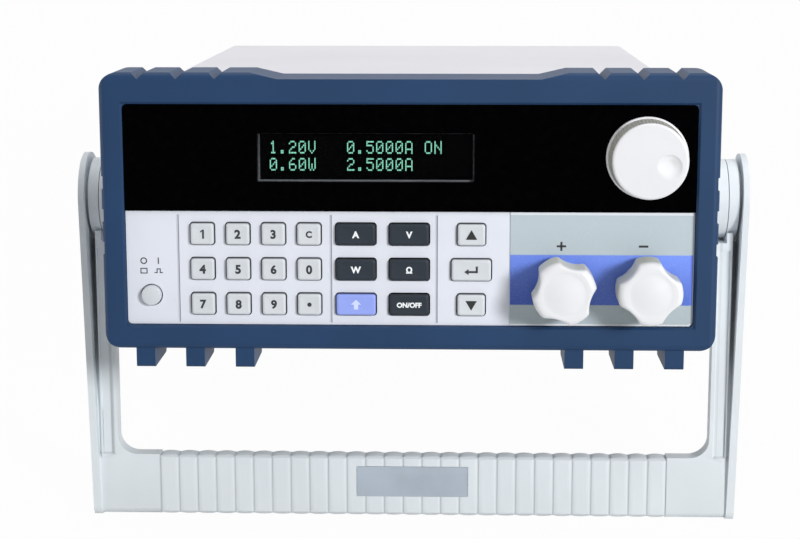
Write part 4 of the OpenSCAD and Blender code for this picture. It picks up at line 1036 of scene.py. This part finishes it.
HANDLE_FRONT, HANDLE_LIP, HANDLE_THIN = 50.9, 2.0, 0.236
ARM_INNER, ARM_TAPER = 118.0, (-18.0, -44.0)
BAR_TOP, BAR_LOWER, BAR_DROP = -103.4, -120.5, 1.16
RIB_PITCH, RIB_SAG, RIB_BACK, RIBBED_HALF, GROOVE_DEPTH = 7.55, 0.7, 12.0, 101.925, 0.35
GROOVE_SIDE, CORNER_START, CORNER_WIDER = 0.45, 105.0, 0.7
# A sunk field down an arm: in the solid, and at the rim and the floor of the moulding's field
FIELD_IN, FIELD_OUT, FIELD_LOW, FIELD_DEPTH = 119.6, 124.8, -100.4, 0.5
RIM_IN, RIM_OUT, RIM_LOW = 120.1, 125.0, -103.5
FLOOR_IN, FLOOR_OUT, FLOOR_LOW, FLOOR_DEPTH = 121.5, 124.9, -102.7, 0.9
# Where the painted shade in the gaps beside the covers ends: inside the covers, at the top, and where it fades in
# up the arm
COVER_INNER, GAP_TOP, GAP_FADE = 128.9, -16.0, (-50.0, -10.0)


def slimmed(points):
    """Maps the handle's solid to its moulding. Points are half width, depth behind the front face
    and height over the pivot. Behind a lip the depth shrinks by a share that falls smoothly down
    the arms; the front of the ribs goes as the sixth power of the sag, which leaves it flat between
    narrow grooves; the edges of the sunk fields move apart into slopes."""
    x, depth, height = points.T.copy()
    reach = abs(x)

    def near(values, spot):
        return abs(values - spot) < 0.05

    arm = ((reach > FIELD_IN - 0.1) & (reach < FIELD_OUT + 0.1)
           & (height > FIELD_LOW - 0.1) & (height < ARM_TAPER[0]))
    rim, sunk = arm & near(depth, 0), arm & near(depth, FIELD_DEPTH)
    inside = (height > BAR_TOP - 0.05) & (reach < ARM_INNER + 0.05)
    corner = np.clip((reach - CORNER_START) / (ARM_INNER - CORNER_START), 0, 1)
    wider = reach + np.where(inside, CORNER_WIDER * corner, 0)
    for edge, at_rim, at_floor in ((FIELD_IN, RIM_IN, FLOOR_IN), (FIELD_OUT, RIM_OUT, FLOOR_OUT)):
        wider = np.where(rim & near(reach, edge), at_rim, wider)
        wider = np.where(sunk & near(reach, edge), at_floor, wider)
    low = near(height, FIELD_LOW)
    lower = np.where(rim & low, RIM_LOW, np.where(sunk & low, FLOOR_LOW, height))
    dropped = BAR_LOWER + (height - BAR_LOWER) * BAR_DROP
    lower = np.where(height < BAR_LOWER, dropped, lower)
    ribbed = (reach < RIBBED_HALF + 0.01) & (height < BAR_TOP + 0.05)
    eased = np.clip((RIB_BACK - depth) / (RIB_BACK - RIB_SAG), 0, 1)
    flat = np.where(depth < RIB_SAG, GROOVE_DEPTH * (np.clip(depth, 0, RIB_SAG) / RIB_SAG) ** 6,
                    depth - (RIB_SAG - GROOVE_DEPTH) * eased)
    deep = np.where(ribbed & (depth >= 0), flat, depth)
    deep = np.where(sunk, FLOOR_DEPTH, deep)
    taper = np.clip((ARM_TAPER[0] - height) / (ARM_TAPER[0] - ARM_TAPER[1]), 0, 1)
    share = 1 - (1 - HANDLE_THIN) * taper ** 2 * (3 - 2 * taper)
    deep = np.where(deep < HANDLE_LIP, deep, HANDLE_LIP + (deep - HANDLE_LIP) * share)
    return np.column_stack((np.sign(x) * wider, deep, lower))


def handle_cuts():
    """Planes that give the handle's solid points where the mapping bends: across the arms, and
    beside every groove."""
    for height in np.linspace(*ARM_TAPER, 9):
        yield (0.0, 0.0, PIVOT_HEIGHT + height), UP
    count = int(RIBBED_HALF / RIB_PITCH)
    for groove in np.arange(-count - 0.5, count + 1) * RIB_PITCH:
        for beside in (-GROOVE_SIDE, GROOVE_SIDE):
            yield (groove + beside, 0.0, 0.0), RIGHT


def gap_floor(side):
    """The slope that closes the gap between an arm and its cover, deep at the hub and shallow at
    the bar: its depth falls as the power 1.2 of what is left of the way to where it levels."""
    top, length, level_at, shallow, deeper, thickness = -17.0, 107.0, 0.62, 0.9, 9.0, 1.0
    wall, cover, cover_slope, cover_top, overlap = 124.6, 128.8, 2.8 / 147.0, 17.8, 0.15
    height = np.linspace(top, top - length, 12)[:, None]
    share = (top - height) / length
    inner = np.full_like(height, wall)
    outer = cover - cover_slope * (cover_top - height) + overlap
    front = shallow + deeper * (1 - np.clip(share / level_at, 0, 1)) ** 1.2
    back = front + thickness
    loop = [(inner, front), (outer, front), (outer, back), (inner, back)]
    return closed_ends(np.stack([
        np.column_stack((side * x, y + HANDLE_FRONT, height + PIVOT_HEIGHT)) for x, y in loop], 1))


# Screws and fan

SCREW_RIM, RECESS = 0.45, 0.55
FAN_FRONT, FAN_BACK, FAN_HUB_R, FAN_TIP_R = 322.9, 342.4, 16.0, 37.2
BLADES, BLADE_HALF, BLADE_BOW, BLADE_SWEEP = 7, 0.75, 1.6, 0.35
BLADE_PITCH, BLADE_CHORD = (46.0, 30.0), (15.5, 18.5)


def screw_head(centre, radius, thickness, outward):
    """A pan head whose height goes as the root of one minus the fourth power of the radius, with a
    cross recess that deepens where either of two crossed slots runs. outward is the direction
    that the head faces."""
    columns = 48
    share = np.concatenate((np.linspace(0, 1, 22), [1.0]))[:, None]
    angle = circle(columns)[None, :]
    u, v = radius * share * np.cos(angle), radius * share * np.sin(angle)
    crown = SCREW_RIM + (1 - SCREW_RIM) * np.sqrt(np.clip(1 - share ** 4, 0, 1))
    height = thickness * crown * np.ones_like(u)
    height[-1] = 0
    slot_w, slot_l = radius * 0.16, radius * 0.62

    def slot(a, b):
        return (np.clip((slot_w - np.abs(a)) / (slot_w * 0.5), 0, 1)
                * np.clip((slot_l - np.abs(b)) / (slot_l * 0.35), 0, 1))

    height = height - thickness * RECESS * np.maximum(slot(u, v), slot(v, u))
    centre, outward, upward = (np.asarray(c, float) for c in (centre, outward, (0, 0, 1)))
    points = (centre + u[..., None] * np.cross(outward, upward) + v[..., None] * upward
              + height[..., None] * outward)
    foot = np.broadcast_to(centre, (1, columns, 3))
    return np.concatenate((points, foot))


def rod_grid(start, axis, radius, length, columns):
    """A plain round shank from start along axis, with closed ends."""
    axis = np.asarray(axis, float)
    side = np.cross(axis, (0.0, 0.0, 1.0))
    other = np.cross(axis, side)
    angle = circle(columns)[None, :, None]
    rim = radius * (np.cos(angle) * side + np.sin(angle) * other)
    radii = np.array((0.0, 1.0, 1.0, 0.0))[:, None, None]
    reach = np.array((0.0, 0.0, length, length))[:, None, None]
    return np.asarray(start, float) + radii * rim + reach * axis


def fan_surface():
    """Hub with a round front edge, and blades whose pitch eases from root to tip while the
    chord bows, each a thin closed loop carried outwards."""
    x0, _, z0 = joint_spot("fan_spin")
    edge_back = FAN_FRONT + 2.0
    hub = [(0, FAN_BACK), (FAN_HUB_R - 0.4, FAN_BACK), (FAN_HUB_R, FAN_BACK - 0.4),
           (FAN_HUB_R, edge_back)]
    hub += arc((FAN_HUB_R, edge_back), (FAN_HUB_R - 2.0, FAN_FRONT), 1, 8)[1:].tolist()
    grids = [turned([*hub, (0, FAN_FRONT)], x0, z0, 96)]
    span, loop = np.linspace(0, 1, 18)[:, None], circle(28)[None, :]
    root = FAN_HUB_R - 0.8
    radius = root + span * (FAN_TIP_R - root)
    pitch = np.radians(BLADE_PITCH[0] + (BLADE_PITCH[1] - BLADE_PITCH[0]) * span)
    chord = BLADE_CHORD[0] + (BLADE_CHORD[1] - BLADE_CHORD[0]) * span
    along, thick = np.cos(loop) * chord / 2, np.sin(loop) * BLADE_HALF
    bow = BLADE_BOW * (1 - (2 * along / chord) ** 2)
    around = along * np.cos(pitch) - (thick + bow) * np.sin(pitch)
    depth = along * np.sin(pitch) + (thick + bow) * np.cos(pitch)
    half_depth = (FAN_BACK - FAN_FRONT) / 2
    depth = (FAN_FRONT + FAN_BACK) / 2 + np.clip(depth, 0.6 - half_depth, half_depth - 0.6)
    for turn in circle(BLADES):
        sweep = around / radius + turn + BLADE_SWEEP * span
        x, z = x0 + radius * np.cos(sweep), z0 + radius * np.sin(sweep)
        grids.append(closed_ends(np.stack((x, depth, z), -1)))
    return grids


# Operators


class LoadOperator:
    """What the operators share"""

    bl_options = {"REGISTER", "UNDO"}


class LOAD_OT_plain_solids(LoadOperator, bpy.types.Operator):
    """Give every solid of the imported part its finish"""

    bl_idname = "electronic_load.plain_solids"
    bl_label = "Finishes of the solids"

    def execute(self, context):
        for part in frame["record"]["subparts"]:
            solid = frame["nodes"][part["node"]]
            solid.data.materials.clear()
            solid.data.materials.append(finish(part["material_slot"]))
        return {"FINISHED"}


class LOAD_OT_keys(LoadOperator, bpy.types.Operator):
    """Make the keys and the marks on them"""

    bl_idname = "electronic_load.keys"
    bl_label = "Keys"

    def execute(self, context):
        edge, dish = looks().keys.edge / MM, looks().keys.dish / MM
        for node in KEY_WIDTHS:
            slot = key_slot(node)
            surface = join_grids([key_surface(node)])
            cap = put_mesh(f"{node}_cap", *surface, finish(slot), node, slot, 35)
            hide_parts(node)
            ink = {"dark_key": "white_ink", "shift_key": "pale_blue_ink"}.get(slot, "dark_ink")
            if node in ("key_up", "key_down"):
                ink = "black_ink"
            points, faces = legend_solid(node, KEY_FRONT - INK_PROUD, INK_THICK)
            x, _, z = middle(node)
            share = np.maximum(abs(points[:, 0] - x) / (KEY_WIDTHS[node] / 2 - edge),
                               abs(points[:, 2] - z) / (KEY_HEIGHT / 2 - edge))
            points[:, 1] += dish * np.clip(1 - share ** 2, 0, 1)
            put_mesh(f"{node}_mark", points, faces, finish(ink), node, slot, 30)
        return {"FINISHED"}


class LOAD_OT_power_button(LoadOperator, bpy.types.Operator):
    """Make the round power button"""

    bl_idname = "electronic_load.power_button"
    bl_label = "Power button"

    def execute(self, context):
        x, _, z = middle("power_button")
        radius, flange_r, edge, edge_back, edge_front, crown_front = 3.7, 5.1, 0.5, 0.5, -0.25, -0.7
        stem_r, stem_back = 1.8, 12.6
        dome = np.linspace(radius - edge, 0, 10)
        crown = np.column_stack((dome, crown_front + 0.5 * (dome / radius) ** 2))
        profile = np.concatenate((
            [(0, stem_back), (stem_r, stem_back), (stem_r, FLANGE_BACK), (flange_r, FLANGE_BACK),
             (flange_r, PANEL_BACK), (radius, PANEL_BACK), (radius, edge_back)],
            arc((radius, edge_back), (radius - edge, edge_front), 1, 8)[1:], crown))
        cap = put_mesh("power_button_cap", *join_grids([turned(profile, x, z, 72)]),
                       finish("button"), "power_button", "light_key", 35)
        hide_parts("power_button")
        return {"FINISHED"}


class LOAD_OT_adjusting_knob(LoadOperator, bpy.types.Operator):
    """Make the ridged adjusting knob"""

    bl_idname = "electronic_load.adjusting_knob"
    bl_label = "Adjusting knob"

    def execute(self, context):
        knob = put_mesh("adjusting_knob_cap", *join_grids([adjusting_knob_surface()]),
                        finish("ridged_knob"), "adjusting_knob", "knob_white", 50)
        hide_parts("rotary_knob")
        return {"FINISHED"}


class LOAD_OT_terminal_knobs(LoadOperator, bpy.types.Operator):
    """Make the two lobed terminal knobs"""

    bl_idname = "electronic_load.terminal_knobs"
    bl_label = "Terminal knobs"

    def execute(self, context):
        for node, phase in (("positive_knob", 75.0), ("negative_knob", 47.0)):
            surface = terminal_knob_surface(node, math.radians(phase))
            knob = put_mesh(f"{node}_cap", *join_grids([surface]), finish("lobed_knob"), node,
                            "knob_white", 50)
            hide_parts(node)
        return {"FINISHED"}


class LOAD_OT_handle(LoadOperator, bpy.types.Operator):
    """Make the handle's slim moulding with its ribs and sunk fields"""

    bl_idname = "electronic_load.handle"
    bl_label = "Handle"

    def execute(self, context):
        zero = (0.0, HANDLE_FRONT, PIVOT_HEIGHT)
        work = bmesh.new()
        work.from_mesh(frame["nodes"]["handle_frame"].data)
        bmesh.ops.remove_doubles(work, verts=work.verts, dist=1e-6)
        bmesh.ops.dissolve_limit(work, angle_limit=math.radians(0.3), verts=work.verts,
                                 edges=work.edges)
        for spot, normal in handle_cuts():
            parts = work.verts[:] + work.edges[:] + work.faces[:]
            bmesh.ops.bisect_plane(work, geom=parts, dist=1e-6, plane_co=lean(spot),
                                   plane_no=normal)
        points = np.array([vertex.co for vertex in work.verts])
        points = (points - ORIGIN) @ AXES.T / MM - zero
        bmesh.ops.triangulate(work, faces=work.faces)
        faces = [[vertex.index for vertex in face.verts] for face in work.faces]
        work.free()
        moulding = (slimmed(points) + zero, faces)
        # The grip's finish paints shade on these gap floors where they lie deep.
        floors = join_grids([gap_floor(side) for side in (-1, 1)])
        handle = put_mesh("handle_moulding", *join_solids([moulding, floors]),
                          finish("handle_grip"), "handle", "handle", 30)
        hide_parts("handle_frame")
        return {"FINISHED"}


class LOAD_OT_marks(LoadOperator, bpy.types.Operator):
    """Print the generic marks on the panel and the label"""

    bl_idname = "electronic_load.marks"
    bl_label = "Panel marks"

    def execute(self, context):
        put_mesh("terminal_signs", *join_solids(ink_bars(PLUS_SIGN + MINUS_SIGN, LABEL_FACE)),
                 finish("dark_ink"), "case", "label", 30)
        outer, inner, front, back = 1.25, 0.85, PANEL_FACE - INK_LAY, PANEL_FACE + INK_LAY
        ring = turned([(outer, back), (outer, front), (inner, front), (inner, back), (outer, back)],
                      *OFF_SIGN_AT, 32)
        bars = ink_bars(ON_SIGN + BUTTON_OUT_SIGN + BUTTON_IN_SIGN, PANEL_FACE)
        put_mesh("power_signs", *join_solids([join_grids([ring]), *bars]), finish("dark_ink"),
                 "case", "panel", 30)
        return {"FINISHED"}


class LOAD_OT_readout(LoadOperator, bpy.types.Operator):
    """Light the dots of the readout"""

    bl_idname = "electronic_load.readout"
    bl_label = "Readout"

    def execute(self, context):
        put_mesh("readout_dots", *join_solids(readout_solids()), finish("phosphor"), "case",
                 "display", 30)
        return {"FINISHED"}


class LOAD_OT_screws(LoadOperator, bpy.types.Operator):
    """Make the case screws with their cross recesses"""

    bl_idname = "electronic_load.screws"
    bl_label = "Case screws"

    def execute(self, context):
        cover_face, height, head_r, head_t, shank_r, shank_l = 106.8, 12.7, 2.9, 1.4, 1.5, 6.0
        grids = []
        for side in (-1.0, 1.0):
            for depth in (100.0, 214.5, 329.0):
                centre = (side * cover_face, depth, height)
                grids.append(screw_head(centre, head_r, head_t, (side, 0.0, 0.0)))
                grids.append(rod_grid(centre, (-side, 0.0, 0.0), shank_r, shank_l, 24))
        screws = put_mesh("case_screw_set", *join_grids(grids), finish("zinc"), "case", "zinc", 40)
        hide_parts("case_screws")
        return {"FINISHED"}


class LOAD_OT_terminal_seats(LoadOperator, bpy.types.Operator):
    """Make the bases and washers behind the terminal knobs"""

    bl_idname = "electronic_load.terminal_seats"
    bl_label = "Terminal seats"

    def execute(self, context):
        rim, body, stud, edge, rim_back, body_back = 9.0, 8.6, 4.0, 0.3, 1.6, 19.6
        hole, washer_r, washer_front, washer_back = 4.3, 8.6, -1.15, -0.05
        base = [(stud, 0.0), (rim - edge, 0.0), *arc((rim - edge, 0.0), (rim, edge), 0, 5)[1:],
                (rim, rim_back), (body, rim_back), (body, body_back), (stud, body_back),
                (stud, 0.0)]
        ring = [(hole, washer_back), (hole, washer_front), (washer_r - 0.2, washer_front),
                (washer_r, washer_front + 0.15), (washer_r, washer_back - 0.1),
                (washer_r - 0.1, washer_back), (hole, washer_back)]
        bases = []
        for node in ("positive_washer", "negative_washer"):
            x, _, z = middle(node)
            bases.append(turned(base, x, z, 96))
            washer = put_mesh(f"{node}_ring", *join_grids([turned(ring, x, z, 96)]), finish("zinc"),
                              node, "zinc", 35)
            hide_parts(node)
        seats = put_mesh("terminal_seats", *join_grids(bases), finish("knob_white"), "case",
                         "knob_white", 35)
        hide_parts("terminal_bases")
        return {"FINISHED"}


class LOAD_OT_rear_fasteners(LoadOperator, bpy.types.Operator):
    """Make the screws of the fan guard and the inlet, and the posts and pins of the connectors"""

    bl_idname = "electronic_load.rear_fasteners"
    bl_label = "Rear fasteners"

    def execute(self, context):
        rear, outward = 347.6, (0.0, 1.0, 0.0)
        fan_hole, inlet_hole, post_off, post_r = 35.75, 20.0, 12.5, 2.6
        sense_pitch, sense_up = 5.6, 2.6
        pin_pitch, pin_row, pin_start, pin_r, pin_l = 2.77, 1.42, -4.1, 0.5, 3.4

        def head(x, z, radius, thickness, behind):
            """A screw head at some depth behind the rear panel's face."""
            return screw_head((x, rear + behind, z), radius, thickness, outward)

        fan_x, _, fan_z = joint_spot("fan_spin")
        inlet_x, _, inlet_z = middle("mains_inlet")
        sense_x, _, sense_z = middle("sense_terminals")
        serial_x, _, serial_z = middle("serial_connector")
        heads = [head(fan_x + x, fan_z + z, 3.4, 1.4, 1.3)
                 for x in (-fan_hole, fan_hole) for z in (-fan_hole, fan_hole)]
        heads += [head(inlet_x + x, inlet_z, 2.8, 0.7, 1.9) for x in (-inlet_hole, inlet_hole)]
        heads += [head(sense_x + place * sense_pitch, sense_z + sense_up, 1.4, 0.8, -1.0)
                  for place in (-1.5, -0.5, 0.5, 1.5)]
        put_mesh("rear_screw_set", *join_grids(heads), finish("zinc"), "case", "zinc", 40)
        posts = [prism(round_outline(serial_x + x, serial_z, post_r, 6), rear + 0.9, rear + 3.6)
                 for x in (-post_off, post_off)]
        put_mesh("serial_posts", *join_solids(posts), finish("zinc"), "case", "zinc", 30)
        pins = [rod_grid((serial_x + place * pin_pitch, rear + pin_start, serial_z + z), outward,
                         pin_r, pin_l, 12)
                for count, z in ((5, pin_row), (4, -pin_row))
                for place in np.arange(count) - (count - 1) / 2]
        put_mesh("serial_pins", *join_grids(pins), finish("brass"), "case", "brass", 40)
        return {"FINISHED"}


class LOAD_OT_fan(LoadOperator, bpy.types.Operator):
    """Make the fan's hub and twisted blades"""

    bl_idname = "electronic_load.fan"
    bl_label = "Fan"

    def execute(self, context):
        fan = put_mesh("fan_impeller", *join_grids(fan_surface()), finish("black_plastic"),
                       "fan_rotor", "black_plastic", 40)
        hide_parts("fan_rotor")
        return {"FINISHED"}


class LOAD_OT_stage(LoadOperator, bpy.types.Operator):
    """Set up the floor, the lamps, the sky and the camera"""

    bl_idname = "electronic_load.stage"
    bl_label = "Stage"

    def execute(self, context):
        self.floor()
        self.sky()
        self.lamp("main_lamp", (1.2, -1.5, 1.0), 0.45, looks().stage.key_power)
        self.lamp("fill_lamp", (-2.0, -0.2, 0.5), 1.2, looks().stage.fill_power)
        self.lamp("top_lamp", (0.1, 0.5, 2.0), 1.5, looks().stage.top_power)
        self.camera()
        return {"FINISHED"}

    def floor(self):
        size, low = 6.0, CAD_BOX[0][2]
        corners = [(-size, -size, low), (size, -size, low), (size, size, low), (-size, size, low)]
        mesh = bpy.data.meshes.new("floor")
        mesh.from_pydata(corners, [], [(0, 1, 2, 3)])
        f = Finish("floor")
        seen = f.node("ShaderNodeLightPath", out="Is Camera Ray")
        mirrored = f.node("ShaderNodeLightPath", out="Is Glossy Ray")
        tone = f.mix(f.noise(3.0), (0.64, 0.64, 0.64), (0.66, 0.66, 0.66))
        plain = f.node("ShaderNodeBsdfDiffuse", {}, {"Color": tone})
        white = f.node("ShaderNodeEmission", {}, {"Color": WHITE, "Strength": 1.0})
        seen_share, mirrored_share = 0.97, 0.9
        share = seen * seen_share + mirrored * mirrored_share
        both = f.node("ShaderNodeMixShader", {}, (share, plain, white))
        f.node("ShaderNodeOutputMaterial", {}, {"Surface": both})
        mesh.materials.append(f.material)
        floor = bpy.data.objects.new("floor", mesh)
        bpy.context.scene.collection.objects.link(floor)

    def sky(self):
        world = bpy.data.worlds.new("sky")
        bpy.context.scene.world = world
        world.use_nodes = True
        f = Nodes(world.node_tree)
        seen = f.node("ShaderNodeLightPath", out="Is Camera Ray")
        mirrored = f.node("ShaderNodeLightPath", out="Is Glossy Ray")
        light = f.node("ShaderNodeBackground", {}, {"Color": WHITE, "Strength": looks().stage.sky})
        shown = f.node("ShaderNodeBackground", {}, {"Color": WHITE, "Strength": 1.0})
        both = f.node("ShaderNodeMixShader", {}, (seen.greater(mirrored), light, shown))
        f.node("ShaderNodeOutputWorld", {}, {"Surface": both})

    def lamp(self, name, place, size, power):
        light = bpy.data.lights.new(name, "AREA")
        light.shape, light.size, light.energy = "DISK", size, power
        holder = bpy.data.objects.new(name, light)
        bpy.context.scene.collection.objects.link(holder)
        holder.location = place
        target = (CAD_BOX[0] + CAD_BOX[1]) / 2
        holder.rotation_mode = "QUATERNION"
        holder.rotation_quaternion = (target - holder.location).to_track_quat("-Z", "Y")

    def camera(self):
        place = np.array((17.8755, -666.3251, 150.1686))
        yaw, pitch, roll = -0.0317, 0.1792, -0.0009
        focal_pixels, picture_width, sensor = 1846.51, 800, 36.0
        ahead = np.array((math.sin(yaw) * math.cos(pitch), math.cos(yaw) * math.cos(pitch),
                          -math.sin(pitch)))
        right = np.array((math.cos(yaw), -math.sin(yaw), 0.0))
        up = np.cross(right, ahead)
        right, up = (math.cos(roll) * right + math.sin(roll) * up,
                     -math.sin(roll) * right + math.cos(roll) * up)
        data = bpy.data.cameras.new("camera")
        data.sensor_width = sensor
        data.lens = focal_pixels * sensor / picture_width
        data.clip_start, data.clip_end = 0.05, 50.0
        camera = bpy.data.objects.new("camera", data)
        bpy.context.scene.collection.objects.link(camera)
        turn = np.column_stack((right @ AXES, up @ AXES, -(ahead @ AXES)))
        matrix = np.eye(4)
        matrix[:3, :3] = turn
        matrix[:3, 3] = lean(place)
        camera.matrix_world = Matrix(matrix.tolist())
        bpy.context.scene.camera = camera


class LOAD_PT_looks(bpy.types.Panel):
    """Panel that lists the settings and the pieces"""

    bl_label = "Electronic load"
    bl_space_type = "VIEW_3D"
    bl_region_type = "UI"
    bl_category = "Load"

    def draw(self, context):
        settings = context.scene.load_looks
        for group in ("body", "keys", "knobs", "readout", "stage"):
            box = self.layout.box()
            box.label(text=group.title())
            values = getattr(settings, group)
            for name in values.__annotations__:
                box.prop(values, name)
        for operator in OPERATORS:
            self.layout.operator(operator.bl_idname)


GROUPS = (BodyColours, KeySizes, KnobSizes, ReadoutSettings, StageSettings, LoadLooks)
OPERATORS = (LOAD_OT_plain_solids, LOAD_OT_keys, LOAD_OT_power_button, LOAD_OT_adjusting_knob,
             LOAD_OT_terminal_knobs, LOAD_OT_terminal_seats, LOAD_OT_handle, LOAD_OT_marks,
             LOAD_OT_readout, LOAD_OT_screws, LOAD_OT_rear_fasteners, LOAD_OT_fan, LOAD_OT_stage)
CLASSES = (*GROUPS, *OPERATORS, LOAD_PT_looks)


def register():
    for item in CLASSES:
        bpy.utils.register_class(item)
    bpy.types.Scene.load_looks = PointerProperty(type=LoadLooks)


def unregister():
    del bpy.types.Scene.load_looks
    for item in reversed(CLASSES):
        bpy.utils.unregister_class(item)


def main():
    register()
    bpy.context.scene.view_settings.view_transform = "Standard"
    for operator in OPERATORS:
        group, name = operator.bl_idname.split(".")
        getattr(getattr(bpy.ops, group), name)()


if __name__ == "__main__":
    main()
